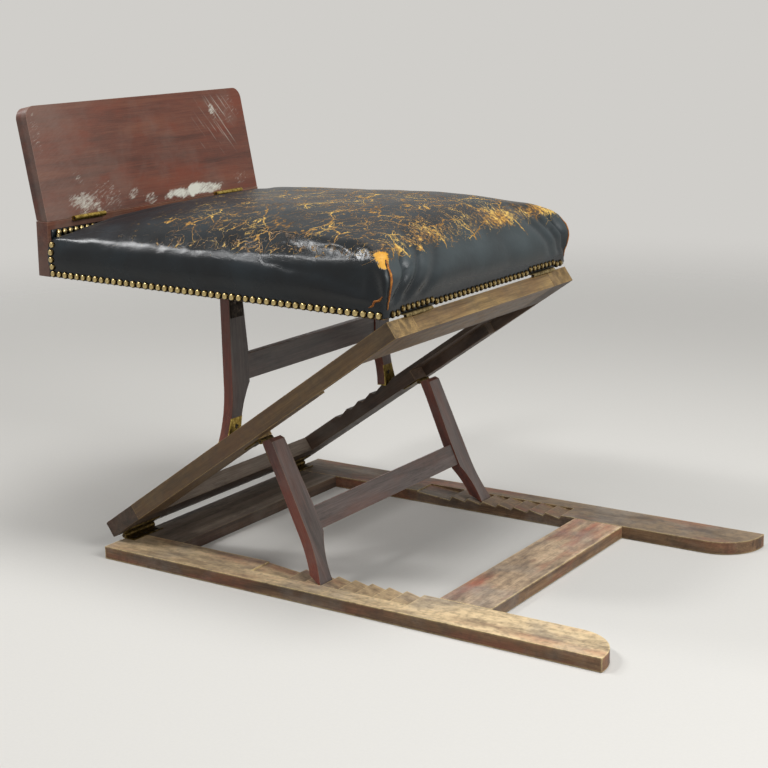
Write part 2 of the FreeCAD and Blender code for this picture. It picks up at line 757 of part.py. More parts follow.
lower_left = cut("lower_left_leg", lower_blank, [sole_cut, ease_cut, lower_slot])
node(on_lower_prop(lower_left), "lower_left_leg")
node(mirrored("lower_right_leg", lower_left), "lower_right_leg")
node(on_lower_prop(lower_bar), "lower_stretcher")
lower_leg_points = []
for out, shift in prop_screw_steps:
    drop = -d.prop_leaf_depth * out
    lower_leg_points.append((leaf_face, lower_middle + d.prop_hinge_length * shift, drop))
lower_leaves = leaf_pair(
    "lower_prop_leg_leaves", lower_middle, d.prop_hinge_length, 3, 1, (0, 0),
    (leaf_face, -d.prop_leaf_depth), (d.knuckle_offset, 0), lower_leg_points, (1, 0, 0))
node(on_lower_prop(lower_leaves), "lower_prop_leg_leaves")
lower_screws = [screw_shape(point, (1, 0, 0)) for point in both_sides(lower_leg_points)]
node(on_lower_prop(solids("lower_prop_screws", lower_screws)), "lower_prop_screws")

# upper prop: square feet with brass shoes that stand on the frame teeth
upper_inner = d.upper_outer_side - d.upper_waist_width
upper_rear = -d.prop_far_face + (d.prop_thick - d.stretcher_thick) / 2
upper_bar, upper_slot = stretcher(
    "upper_stretcher", upper_rear, upper_inner, d.upper_stretcher_drop, d.upper_stretcher_depth)
upper_corners = leg_corners(
    d.upper_outer_side, d.upper_top_width, d.upper_waist_width, d.upper_foot_width, d.upper_foot_flare,
    d.upper_flare_length, d.upper_stretcher_drop, d.upper_stretcher_depth, d.upper_length)
upper_blank = padded_body("upper_leg_blank", "YZ_Plane", upper_corners, d.prop_thick, -d.prop_far_face)
front_plate = box(
    "shoe_front", (-d.knuckle_offset - d.shoe_thick, 0, -d.upper_length - 1),
    (-d.knuckle_offset + 1, d.base_width, d.shoe_height - d.upper_length))
sole_plate = box(
    "shoe_sole", (-d.prop_far_face - 1, 0, -d.upper_length - 1),
    (-d.knuckle_offset + 1, d.base_width, d.shoe_thick - d.upper_length))
shoe_room = fuse("shoe_room", [front_plate, sole_plate])
shoe_point = (
    -d.knuckle_offset, d.upper_outer_side + d.upper_foot_flare * 0.6 - d.upper_foot_width / 2,
    d.shoe_height * 0.62 - d.upper_length)
shoe_hole = solids("shoe_hole", [screw_shape(shoe_point, (-1, 0, 0), d.screw_clear.value)])
shoe_one = cut("shoe_one", common("shoe_blank", upper_blank, shoe_room), [shoe_hole])
shoes = group("upper_shoes", [shoe_one, mirrored("shoe_other", shoe_one)])
upper_left = cut("upper_left_leg", upper_blank, [shoe_room, upper_slot])
node(on_upper_prop(upper_left), "upper_left_leg")
node(mirrored("upper_right_leg", upper_left), "upper_right_leg")
node(on_upper_prop(upper_bar), "upper_stretcher")
node(on_upper_prop(shoes), "upper_shoes")
upper_middle = d.upper_outer_side - d.upper_top_width / 2
upper_leg_points = []
upper_bar_points = []
for out, shift in prop_screw_steps:
    across = upper_middle + d.prop_hinge_length * shift
    upper_leg_points.append((-leaf_face, across, -d.prop_leaf_depth * out))
    upper_bar_points.append((d.prop_leaf_depth * out - d.upper_axis_reach, across, d.joint_half - d.leaf_thick))
upper_leaves = leaf_pair(
    "upper_prop_leg_leaves", upper_middle, d.prop_hinge_length, 3, 1, (0, 0),
    (-d.knuckle_offset, -d.prop_leaf_depth), (-leaf_face, 0), upper_leg_points, (-1, 0, 0))
node(on_upper_prop(upper_leaves), "upper_prop_leg_leaves")
upper_screws = [screw_shape(point, (-1, 0, 0)) for point in both_sides(upper_leg_points + [shoe_point])]
node(on_upper_prop(solids("upper_prop_screws", upper_screws)), "upper_prop_screws")

# seat frame, measured from the front hinge axis along its own slightly tilted underside
under = d.joint_half


def seat_bar(name, near, far, tools=()):
    bar = box(name + "_bar", near, far)
    return on_seat(cut(name, bar, tools) if tools else group(name, [bar]))


side = d.seat_frame_side
inner_side = side - d.seat_rail_thick
board_top = under + d.end_board_height
seat_recesses = recess_pair(
    "seat_hinge", d.front_hinge_spread, (-recess_rear, under - 1), (1 - d.seat_frame_front, under + d.leaf_sink))
board_recesses = recess_pair(
    "board_hinge", d.flap_hinge_spread, (-d.flap_axis_back - recess_rear, board_top - d.leaf_sink),
    (1 - d.board_face, board_top + 1))
left_rail = seat_bar(
    "seat_left_rail", (-d.board_face, inner_side, under), (-d.seat_frame_front, side, d.cross_strap_z))
node(left_rail, "seat_left_rail")
node(mirrored("seat_right_rail", left_rail), "seat_right_rail")
node(seat_bar(
    "seat_front_rail", (-d.seat_frame_front - d.seat_end_rail_thick, -inner_side, under),
    (-d.seat_frame_front, inner_side, d.long_strap_z), seat_recesses), "seat_front_rail")
node(seat_bar(
    "seat_rear_rail", (-d.board_face, -inner_side, under),
    (-d.board_face + d.seat_end_rail_thick, inner_side, d.long_strap_z)), "seat_rear_rail")
node(seat_bar(
    "prop_cross_bar", (-d.upper_axis_reach + d.prop_top_gap, -inner_side, under),
    (-d.upper_axis_reach + d.prop_top_gap + d.cross_bar_depth, inner_side, under + d.cross_bar_thick)),
    "prop_cross_bar")
node(seat_bar(
    "end_board", (-d.board_face - d.end_board_thick, -d.seat_width / 2, under),
    (-d.board_face, d.seat_width / 2, board_top), board_recesses), "end_board")

# webbing, hessian, stuffing and leather of the pad
long_straps = []
for index in range(4):
    middle = (index - 1.5) * d.strap_pitch
    long_straps.append(box(
        "long_strap_%d" % index, (-d.board_face + 1, middle - d.strap_width / 2, d.long_strap_z),
        (-d.seat_frame_front - 1, middle + d.strap_width / 2, d.cross_strap_z)))
node(on_seat(group("long_webbing", long_straps)), "long_webbing")
cross_straps = []
pad_middle = -(d.board_face + d.seat_frame_front) / 2
for index in range(5):
    middle = pad_middle + (index - 2) * d.strap_pitch
    cross_straps.append(box(
        "cross_strap_%d" % index, (middle - d.strap_width / 2, 1 - side, d.cross_strap_z),
        (middle + d.strap_width / 2, side - 1, d.hessian_z)))
node(on_seat(group("cross_webbing", cross_straps)), "cross_webbing")
node(seat_bar(
    "hessian", (-d.board_face + d.cover_clear, -side, d.hessian_z),
    (-d.seat_frame_front, side, d.hessian_z + d.hessian_thick)), "hessian")

pad_front = -d.front_axis_out.value
pad_rear = -d.board_face.value


def pad_section(height, inset, rear_inset, turn, lift, grow):
    # A rounded outline of the pad, tipped up by the lift at the front and down as far at the rear.
    # Heights count from the seat's underside.
    front = pad_front - inset + grow
    rear = pad_rear + d.cover_clear.value + rear_inset - grow
    half = d.seat_width.value / 2 - inset + grow
    rear_turn = turn * d.rear_corner_share.value
    turns = [(front, half, 1, 1, turn), (rear, half, -1, 1, rear_turn),
             (rear, -half, -1, -1, rear_turn), (front, -half, 1, -1, turn)]

    def spot(x, y):
        share = 2 * (x - pad_rear) / (pad_front - pad_rear) - 1
        return FreeCAD.Vector(x, y, under.value + height + lift * share)

    points = []
    for x, y, x_sign, y_sign, radius in turns:
        middle_x = x - x_sign * radius
        middle_y = y - y_sign * radius
        slant = radius * math.sqrt(0.5)
        ends = (spot(x, middle_y), spot(middle_x + x_sign * slant, middle_y + y_sign * slant), spot(middle_x, y))
        points.append(ends if x_sign * y_sign > 0 else ends[::-1])
    edges = []
    for index, (start, middle, end) in enumerate(points):
        following = points[(index + 1) % 4][0]
        edges.append(Part.Arc(start, middle, end).toShape())
        edges.append(Part.LineSegment(end, following).toShape())
    return Part.Wire(edges)


bulge = d.side_bulge.value
fold = d.fold_height.value
rise = d.fold_rise.value
crown = d.crown_height.value
crown_in = d.crown_inset.value
rear_draw = d.rear_draw.value
corner = d.pad_corner_radius.value
# height, inset at front and sides, inset at the rear, corner radius, lift at the front
side_profile = [
    (d.cover_bottom.value, 0.0, 0.0, corner * 0.5, 0.0),
    (d.band_height.value, 0.0, 0.0, corner * 0.5, 0.0),
    (d.band_height.value + fold * 0.20, -bulge * 0.7, 0.0, corner * 0.65, 0.0),
    (fold * 0.64, -bulge, 0.0, corner * 0.8, 0.0),
    (fold * 0.85, -bulge * 0.6, 0.0, corner * 0.9, rise * 0.33),
    (fold, bulge * 0.5, rear_draw, corner, rise),
]
crown_profile = [
    (fold, bulge * 0.5, rear_draw, corner, rise),
    (fold + crown * 0.36, crown_in * 0.19, crown_in * 0.19, corner * 1.8, rise),
    (fold + crown * 0.68, crown_in * 0.43, crown_in * 0.41, corner * 2.6, rise),
    (fold + crown * 0.90, crown_in * 0.70, crown_in * 0.68, d.crown_top_width.value * 0.75, rise),
    (fold + crown, crown_in, crown_in * 0.97, d.crown_top_width.value * 0.36, rise),
]


def pad_solid(profiles, grow):
    pieces = []
    for profile in profiles:
        wires = [pad_section(*row, grow) for row in profile]
        pieces.append(Part.makeLoft(wires, True, False))
    return pieces[0].fuse(pieces[1:])


wall = d.cover_thick.value
stuffing_start = d.stuffing_z.value - under.value


def inner_profiles(extra):
    # The hollow of the leather, one wall inside it, from the hessian to the crown.
    start = (stuffing_start - extra, wall - bulge * 0.83, wall, corner * 0.75, 0.0)
    shifted = [(height - wall + extra, inset + wall, rear + wall, turn, lift)
               for height, inset, rear, turn, lift in side_profile if height > stuffing_start + wall]
    raised = [(height - wall + extra, inset + wall, rear + wall, turn, lift)
              for height, inset, rear, turn, lift in crown_profile]
    return [[start] + shifted, raised]


clear = d.cover_clear.value
stuffing = solids("stuffing", [pad_solid(inner_profiles(0.0), 0.0)])
node(on_seat(stuffing), "stuffing")
frame_room = Part.makeBox(
    d.board_face.value - d.seat_frame_front.value + clear + 1, 2 * (side.value + clear),
    d.stuffing_z.value - 0.5 * clear,
    FreeCAD.Vector(-d.board_face.value - 1, -side.value - clear, 0))
band_high = under.value + d.back_band_top.value
band_low = band_high - d.back_band_height.value
band_half = d.seat_width.value / 2 - d.back_band_side_in.value
back_band = Part.makeBox(
    wall, 2 * band_half, band_high - band_low,
    FreeCAD.Vector(-d.board_face.value + clear, -band_half, band_low))
cover = pad_solid([side_profile, crown_profile], 0.0).fuse(back_band)
cover = cover.cut([frame_room, pad_solid(inner_profiles(clear), clear)])
node(on_seat(solids("leather_cover", cover.Solids)), "leather_cover")


# domed nails set head to head
def nail_shape():
    radius = d.nail_radius.value
    rise = d.nail_rise.value
    sphere = (radius * radius + rise * rise) / (2 * rise)
    angle = math.asin(radius / sphere) / 2
    rim = FreeCAD.Vector(radius, 0, 0)
    middle = FreeCAD.Vector(sphere * math.sin(angle), 0, rise - sphere * (1 - math.cos(angle)))
    crest = FreeCAD.Vector(0, 0, rise)
    shank = d.nail_shank_radius.value
    depth = -d.nail_shank_length.value
    rest = [crest, FreeCAD.Vector(0, 0, depth), FreeCAD.Vector(shank, 0, depth), FreeCAD.Vector(shank, 0, 0), rim]
    edges = [Part.Arc(rim, middle, crest).toShape()]
    edges += [Part.LineSegment(start, end).toShape() for start, end in zip(rest, rest[1:])]
    face = Part.Face(Part.Wire(edges))
    return face.revolve(FreeCAD.Vector(0, 0, 0), FreeCAD.Vector(0, 0, 1), 360)


nail = nail_shape()


def nails_at(points, way):
    shapes = []
    rotation = FreeCAD.Rotation(FreeCAD.Vector(0, 0, 1), FreeCAD.Vector(*way))
    for point in points:
        one = nail.copy()
        one.Placement = FreeCAD.Placement(FreeCAD.Vector(*point), rotation)
        shapes.append(one)
    return shapes


def even_steps(start, end, pitch):
    count = max(2, int((end - start) / pitch + 0.5) + 1)
    return [start + (end - start) * index / (count - 1) for index in range(count)]


def leather_side(x, height):
    # How far the leather stands out sideways, from the pad's outline at that height near its rear corner.
    rows = [(row[0] - row[4], -row[1], row[3] * d.rear_corner_share.value) for row in side_profile]
    for (low_z, low_out, low_turn), (high_z, high_out, high_turn) in zip(rows, rows[1:]):
        if height <= high_z:
            break
    share = max(0.0, min(1.0, (height - low_z) / (high_z - low_z)))
    turn = low_turn + (high_turn - low_turn) * share
    into = max(0.0, turn - (x - pad_rear))
    return half_seat + low_out + (high_out - low_out) * share - turn + math.sqrt(turn * turn - into * into)


def over_hinge(y):
    reach = d.hinge_length.value / 2 + d.nail_radius.value + clear
    return abs(abs(y) - d.front_hinge_spread.value) < reach


pitch = d.nail_pitch.value
nail_z = under.value + d.nail_height.value
half_seat = d.seat_width.value / 2
end_space = d.nail_radius.value * 1.5
side_steps = even_steps(pad_rear + end_space, pad_front - end_space, pitch)
side_points = [(x, half_seat, nail_z) for x in side_steps]
for index in range(1, 6):
    height = d.nail_height.value + index * d.nail_column_pitch.value
    side_points.append((side_steps[0], leather_side(side_steps[0], height), under.value + height))
left_nails = solids("left_side_nails", nails_at(side_points, (0, 1, 0)))
node(on_seat(left_nails), "left_side_nails")
node(mirrored("right_side_nails", left_nails), "right_side_nails")
row_half = half_seat - corner * 0.5 - end_space
front_steps = even_steps(-row_half, row_half, pitch)
front_points = []
for y in front_steps:
    front_points.append((pad_front, y, nail_z + (d.nail_hinge_lift.value if over_hinge(y) else 0.0)))
node(on_seat(solids("front_nails", nails_at(front_points, (1, 0, 0)))), "front_nails")
end_z = band_high - d.nail_radius.value - clear
end_points = [(pad_rear + clear + wall, y, end_z) for y in front_steps]
node(on_seat(solids("end_nails", nails_at(end_points, (1, 0, 0)))), "end_nails")

# hinge leaves, pins and screws carried by the seat
seat_screw_points = long_hinge_screws(d.front_hinge_spread, -screw_out, d.leaf_clear)
seat_leaves = leaf_pair(
    "front_hinge_seat_leaves", d.front_hinge_spread, d.hinge_length, 5, 1, (0, 0),
    (-d.leaf_depth, d.leaf_clear), (0, d.leaf_clear + d.leaf_thick), seat_screw_points, (0, 0, 1),
    barrel=d.front_barrel_radius)
node(on_seat(seat_leaves), "front_hinge_seat_leaves")
upper_axis = (-d.upper_axis_reach, -d.upper_axis_drop)
bar_leaves = leaf_pair(
    "upper_prop_bar_leaves", upper_middle, d.prop_hinge_length, 3, 0, upper_axis,
    (-d.upper_axis_reach, under - d.leaf_thick), (d.prop_leaf_depth - d.upper_axis_reach, under),
    upper_bar_points, (0, 0, 1))
node(on_seat(bar_leaves), "upper_prop_bar_leaves")
upper_pins = pin_pair("upper_prop_pins", upper_middle, d.prop_hinge_length, upper_axis)
node(on_seat(upper_pins), "upper_prop_pins")
flap_axis = (-d.flap_axis_back, d.flap_axis_rise)
board_leaf_top = d.flap_axis_rise - d.leaf_clear
board_screw_points = long_hinge_screws(d.flap_hinge_spread, -d.flap_axis_back - screw_out, board_leaf_top)
board_leaves = leaf_pair(
    "flap_hinge_board_leaves", d.flap_hinge_spread, d.hinge_length, 5, 0, flap_axis,
    (-d.flap_axis_back - d.leaf_depth, board_leaf_top - d.leaf_thick), (-d.flap_axis_back, board_leaf_top),
    board_screw_points, (0, 0, -1))
node(on_seat(board_leaves), "flap_hinge_board_leaves")
flap_pins = pin_pair("flap_hinge_pins", d.flap_hinge_spread, d.hinge_length, flap_axis)
node(on_seat(flap_pins), "flap_hinge_pins")
seat_screws = [screw_shape(point, (0, 0, 1)) for point in both_sides(seat_screw_points + upper_bar_points)]
seat_screws += [screw_shape(point, (0, 0, -1)) for point in both_sides(board_screw_points)]
node(on_seat(solids("seat_screws", seat_screws)), "seat_screws")

# end flap that leans back on its hinges, its lower edge cut level to stand on the end board
half_flap = d.seat_width / 2 - d.flap_side_in
round_top = d.flap_corner_radius
flap_corners = [
    (-half_flap, 0),
    (half_flap, 0),
    (half_flap, d.flap_height - round_top, round_top, 1),
    (half_flap - round_top, d.flap_height),
    (round_top - half_flap, d.flap_height, round_top, 1),
    (-half_flap, d.flap_height - round_top),
]
flap_blank = on_flap(padded_body("flap_blank", "YZ_Plane", flap_corners, d.flap_thick, -d.flap_back))
flap_edge = box(
    "flap_edge_cut", (-2 * d.flap_back, -half_flap - 1, -d.flap_back), (d.flap_back, half_flap + 1, d.joint_half))
flap_recesses = recess_pair(
    "flap_hinge", d.flap_hinge_spread, (-recess_rear, 0), (1 - d.flap_axis_out, d.joint_half + d.leaf_sink))
edge_tools = on_flap_edge(fuse("flap_edge_tools", [flap_edge] + flap_recesses))
node(cut("flap_board", flap_blank, [edge_tools]), "flap_board")
flap_screw_points = long_hinge_screws(d.flap_hinge_spread, -screw_out, d.leaf_clear)
flap_leaves = leaf_pair(
    "flap_hinge_flap_leaves", d.flap_hinge_spread, d.hinge_length, 5, 1, (0, 0),
    (-d.leaf_depth, d.leaf_clear), (0, d.leaf_clear + d.leaf_thick), flap_screw_points, (0, 0, 1))
node(on_flap_edge(flap_leaves), "flap_hinge_flap_leaves")
flap_screws = [screw_shape(point, (0, 0, 1)) for point in both_sides(flap_screw_points)]
node(on_flap_edge(solids("flap_screws", flap_screws)), "flap_screws")

doc.recompute()
for item in doc.Objects:
    if "Invalid" in item.State or "Error" in item.State:
        raise ValueError("%s did not rebuild" % item.Name)
for item in nodes:
    if item.Shape.isNull() or not item.Shape.isValid() or not item.Shape.Solids:
        raise ValueError("%s has no sound shape" % item.Label)

os.makedirs("parts", exist_ok=True)
for item in nodes:
    item.Shape.exportStep("parts/%s.step" % item.Label)
    extent = item.Shape.BoundBox
    print("%-26s solids %3d  volume %10.1f  x %.1f..%.1f  y %.1f..%.1f  z %.1f..%.1f" % (
        item.Label, len(item.Shape.Solids), item.Shape.Volume, extent.XMin, extent.XMax,
        extent.YMin, extent.YMax, extent.ZMin, extent.ZMax))
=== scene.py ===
import bpy
import bmesh
import json
import math
import numpy as np
from mathutils import Matrix, Vector, noise
from mathutils.bvhtree import BVHTree


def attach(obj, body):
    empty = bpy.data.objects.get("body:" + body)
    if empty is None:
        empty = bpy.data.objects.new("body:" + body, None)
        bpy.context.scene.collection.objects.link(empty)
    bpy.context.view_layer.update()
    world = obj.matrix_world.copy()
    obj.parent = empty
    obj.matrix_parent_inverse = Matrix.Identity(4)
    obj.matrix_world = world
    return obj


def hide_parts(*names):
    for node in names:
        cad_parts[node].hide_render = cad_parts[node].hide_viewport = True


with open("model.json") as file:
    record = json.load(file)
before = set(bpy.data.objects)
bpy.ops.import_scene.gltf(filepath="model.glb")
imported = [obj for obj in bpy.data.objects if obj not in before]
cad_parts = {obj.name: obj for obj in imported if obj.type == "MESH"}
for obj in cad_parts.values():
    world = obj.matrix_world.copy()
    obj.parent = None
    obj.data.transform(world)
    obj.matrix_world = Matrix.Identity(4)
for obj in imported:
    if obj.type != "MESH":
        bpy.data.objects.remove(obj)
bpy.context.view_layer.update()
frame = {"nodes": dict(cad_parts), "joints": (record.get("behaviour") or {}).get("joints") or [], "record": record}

scene = bpy.context.scene
jointAt = {joint["name"]: Vector(joint["pos_m"]) for joint in frame["joints"]}
record = frame["record"]
bodyOf = {node: body for body, members in record["behaviour"]["bodies"].items() for node in members}
mm = 0.001
print("stage: frame loaded")


def tint(hexCode):
    # sRGB hex to linear colour
    parts = [int(hexCode[i:i + 2], 16) / 255 for i in (1, 3, 5)]
    return tuple(c / 12.92 if c <= 0.04045 else ((c + 0.055) / 1.055) ** 2.4 for c in parts) + (1.0,)


def feed(tree, node, inputs):
    # a node's inputs, as values or links
    for key, value in inputs.items():
        if isinstance(value, bpy.types.NodeSocket):
            tree.links.new(value, node.inputs[key])
        else:
            node.inputs[key].default_value = value


def put(tree, kind, inputs=None, out=0, stops=(), **settings):
    # one node with its settings, inputs and ramp stops, which are hex colours or greys; gives back one output
    node = tree.nodes.new(kind)
    for key, value in settings.items():
        setattr(node, key, value)
    feed(tree, node, inputs or {})
    while stops and len(node.color_ramp.elements) < len(stops):
        node.color_ramp.elements.new(0.5)
    for index, (place, colour) in enumerate(stops):
        mark = node.color_ramp.elements[index]
        mark.position = place
        mark.color = tint(colour) if isinstance(colour, str) else (colour,) * 3 + (1.0,)
    return node.outputs[out] if len(node.outputs) else node


colourMix = {"out": 2, "data_type": "RGBA"}


def startMaterial(name):
    material = bpy.data.materials.new(name)
    material.use_nodes = True
    tree = material.node_tree
    tree.nodes.clear()
    surface = put(tree, "ShaderNodeBsdfPrincipled")
    put(tree, "ShaderNodeOutputMaterial", {"Surface": surface})
    return material, tree, surface.node


def addObject(name, mesh, material=None):
    thing = bpy.data.objects.new(name, mesh)
    scene.collection.objects.link(thing)
    if material:
        mesh.materials.clear()
        mesh.materials.append(material)
    return thing


def meshFrom(form, name):
    mesh = bpy.data.meshes.new(name)
    form.to_mesh(mesh)
    form.free()
    return mesh


def skin(form, rows, ends=False):
    # faces between rows of points that each close on themselves, and over the first and last row
    count = len(rows[0])
    for lower, upper in zip(rows, rows[1:]):
        for i in range(count):
            form.faces.new((lower[i], lower[(i + 1) % count], upper[(i + 1) % count], upper[i]))
    if ends:
        form.faces.new(rows[0])
        form.faces.new(rows[-1])


def storeValues(mesh, name, values, kind="FLOAT", domain="POINT"):
    field = "vector" if kind == "FLOAT_VECTOR" else "value"
    mesh.attributes.new(name, kind, domain).data.foreach_set(field, np.asarray(values, np.float32).ravel())


def readPoints(mesh, field="co"):
    flat = np.empty(len(mesh.vertices) * 3, np.float32)
    mesh.vertices.foreach_get(field, flat)
    return flat.reshape(-1, 3).astype(float)


def movePoints(mesh, points):
    mesh.vertices.foreach_set("co", points.astype(np.float32).ravel())
    mesh.update()


def smoothStep(low, high, value):
    share = np.clip((value - low) / (high - low), 0, 1)
    return share * share * (3 - 2 * share)


def camelName(node):
    first, *rest = node.split("_")
    return first + "".join(word.capitalize() for word in rest)


# mm that points merge over, degrees of a flat face and of a sharp edge,
# and the least length of an edge and depth of a face that is rounded, in widths of the rounding
arris = {"weld": 0.004, "flat": 0.8, "sharp": 28, "shortest": 3, "narrowest": 2.4}


def mergedCopy(node):
    # a CAD node's triangles joined into flat faces
    data = frame["nodes"][node].data
    form = bmesh.new()
    corners = [form.verts.new(v.co) for v in data.vertices]
    for polygon in data.polygons:
        if len(set(polygon.vertices)) == 3:
            form.faces.new([corners[i] for i in polygon.vertices])
    bmesh.ops.remove_doubles(form, verts=form.verts, dist=arris["weld"] * mm)
    bmesh.ops.dissolve_limit(form, angle_limit=math.radians(arris["flat"]), verts=form.verts, edges=form.edges)
    return form


def easeEdges(form, width, rounds):
    # rounds the open arrises, leaving those too short or too narrow for it
    chosen = []
    sharp = math.radians(arris["sharp"])
    for edge in form.edges:
        if len(edge.link_faces) != 2 or not edge.is_convex or edge.calc_face_angle(0.0) < sharp:
            continue
        length = edge.calc_length()
        area = min(face.calc_area() for face in edge.link_faces)
        if length > arris["shortest"] * width and area > arris["narrowest"] * width * length:
            chosen.append(edge)
    bmesh.ops.bevel(form, geom=chosen, offset=width, offset_type="OFFSET", segments=rounds, profile=0.5,
                    affect="EDGES", clamp_overlap=True)
    bmesh.ops.recalc_face_normals(form, faces=form.faces)


def eased(node, width, rounds, smooth):
    # a CAD node's copy with its arrises rounded, shaded smooth up to an angle
    form = mergedCopy(node)
    easeEdges(form, width * mm, rounds)
    mesh = meshFrom(form, camelName(node))
    mesh.shade_smooth()
    mesh.set_sharp_from_angle(angle=math.radians(smooth))
    return mesh


def paintNode(node, material):
    data = frame["nodes"][node].data
    data.materials.clear()
    data.materials.append(material)


def dressNode(piece, node):
    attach(piece, bodyOf[node])
    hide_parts(node)


# wood: the grain attribute holds metres along the grain, across the face and through it,
# and the pale attribute marks the faces that get the side tones: finish rubbed off by hands, together with painted
# light on the faces turned up or forward
woodLooks = {
    # french-polished mahogany, red brown with close straight grain and a soft shine
    "polishedMahogany": {
        "tones": ("#4a2418", "#6b3a29", "#82503a"), "pale": ("#573629", "#724c3a", "#8a634c"),
        "flush": "#7a3318", "flushAmount": 0.55, "grey": "#7b675c", "greyAmount": 0.5,
        "grime": "#2c1a13", "grimeAmount": 0.35, "worn": "#a98670", "wornReach": 1.6, "wornAmount": 0.5,
        "figure": 20, "fibre": 1.3, "rough": 0.40, "coat": 0.15},
    # the same wood on the props: brown grey on the front faces, worn by hands and painted there as lit with a grey
    # sheen, red on the sides
    "handledMahogany": {
        "tones": ("#561f10", "#783422", "#944c34"), "pale": ("#403733", "#5f534f", "#7a6963"),
        "flush": "#70483a", "flushAmount": 0.5, "grey": "#6c6560", "greyAmount": 0.3,
        "grime": "#1d1310", "grimeAmount": 0.5, "worn": "#a27d60", "wornReach": 1.4, "wornAmount": 0.55,
        "figure": 15, "fibre": 1.2, "rough": 0.38, "coat": 0.15},
    # brown frame wood, golden on the faces turned forward, where the polish is rubbed away and painted light falls
    "frameMahogany": {
        "tones": ("#42311b", "#644c2f", "#806540"), "pale": ("#564322", "#8a7047", "#ae905b"),
        "flush": "#5f402c", "flushAmount": 0.45, "grey": "#746750", "greyAmount": 0.3,
        "grime": "#281d13", "grimeAmount": 0.5, "worn": "#c6a468", "wornReach": 1.7, "wornAmount": 0.75,
        "figure": 13, "fibre": 1.1, "rough": 0.5, "coat": 0.05, "mottle": 0.28},
    # the inner rails of the same frame, dark brown as painted shade, with grey patches of dust in the polish
    "dustyMahogany": {
        "tones": ("#2d221a", "#46362a", "#5f4b3b"), "pale": ("#4c4238", "#6a5d50", "#83766a"),
        "flush": "#4f3023", "flushAmount": 0.4, "grey": "#6a6157", "greyAmount": 0.5,
        "grime": "#191310", "grimeAmount": 0.6, "worn": "#8d7452", "wornReach": 1.6, "wornAmount": 0.6,
        "figure": 14, "fibre": 1.2, "rough": 0.58, "coat": 0.0},
    # floor frame scuffed to bare wood: tan with pink patches, dark stains and yellow arrises
    "scuffedMahogany": {
        "tones": ("#553d2a", "#846549", "#a2825f"), "pale": ("#8c7458", "#caae86", "#e6cca2"),
        "flush": "#a8654c", "flushAmount": 0.55, "grey": "#97918a", "greyAmount": 0.55,
        "grime": "#46362b", "grimeAmount": 0.65, "grimeSpread": 0.07, "mottle": 0.34,
        "worn": "#ecd39c", "wornReach": 3.0, "wornAmount": 1.0,
        "bleach": "#f0d6a9", "bleachFrom": (-0.25, 0.34),
        "figure": 16, "fibre": 1.3, "rough": 0.55, "coat": 0.0},
    # plain sawn rails under the seat, never polished
    "sawnBeech": {
        "tones": ("#6b5136", "#8a6c48", "#a5855b"), "pale": ("#6b5136", "#8a6c48", "#a5855b"),
        "flush": "#7c5c3e", "flushAmount": 0.3, "grey": "#85745c", "greyAmount": 0.3,
        "grime": "#3a2b1d", "grimeAmount": 0.45, "worn": "#b89a6c", "wornReach": 1.5, "wornAmount": 0.3,
        "figure": 10, "fibre": 1.2, "rough": 0.68, "coat": 0.0},
}
flapScuffs = {
    # chalky marks: middle along and up the board, half reach along and up in mm, strength
    "spots": [(42, 8, 36, 8.5, 1.15), (86, 10.5, 40, 8, 1.1), (-16, 10, 17, 9, 0.62), (-45, 19, 12, 10, 0.6),
              (-130, 12, 26, 17, 0.41), (-96, 16, 50, 22, 0.43), (-130, 46, 12, 12, 0.44),
              (162, 18, 20, 12, 0.4), (128, 108, 7, 6, 0.5), (-184, 100, 9, 30, 0.4), (155, 104, 34, 24, 0.36)],
    # scratches: middle along and up, half reach along and up
    "scratches": (132, 88, 46, 40), "chalk": "#e4e4d6", "streakTurn": -24, "scratchTurn": 53,
    # dull bloom that thickens between two places along the board
    "haze": "#97867c", "hazeFrom": (-30, -190), "hazeAmount": 0.5}
# the polished wood of the flap, with chalky scuffs on its face, and its near edge darker as painted shade
woodLooks["flapMahogany"] = dict(
    woodLooks["polishedMahogany"],
    tones=("#4c2719", "#643525", "#754531"), pale=("#3a2019", "#543127", "#6f4636"),
    grimeAmount=0.25, greyAmount=0.35, scuffs=flapScuffs)
# the bare floor wood elsewhere: flushed pink on the cross rail, darker brown on the far runner
woodLooks["flushedMahogany"] = dict(
    woodLooks["scuffedMahogany"], pale=("#7d6650", "#bea281", "#e6cbaa"), flush="#ad674f", flushAmount=0.85,
    bleach="#dcc2a2", bleachFrom=(0.0, 0.5))
woodLooks["stainedMahogany"] = dict(
    woodLooks["scuffedMahogany"], pale=("#473a2f", "#6c5a47", "#8c7961"), grime="#2e231c", worn="#c4ad7e",
    bleach="#978268")
# dark wood painted as shade, with grey dust, that is golden at its front end, worn and painted lit as on the frame
woodLooks["shadedMahogany"] = dict(woodLooks["dustyMahogany"], pale=woodLooks["frameMahogany"]["pale"])


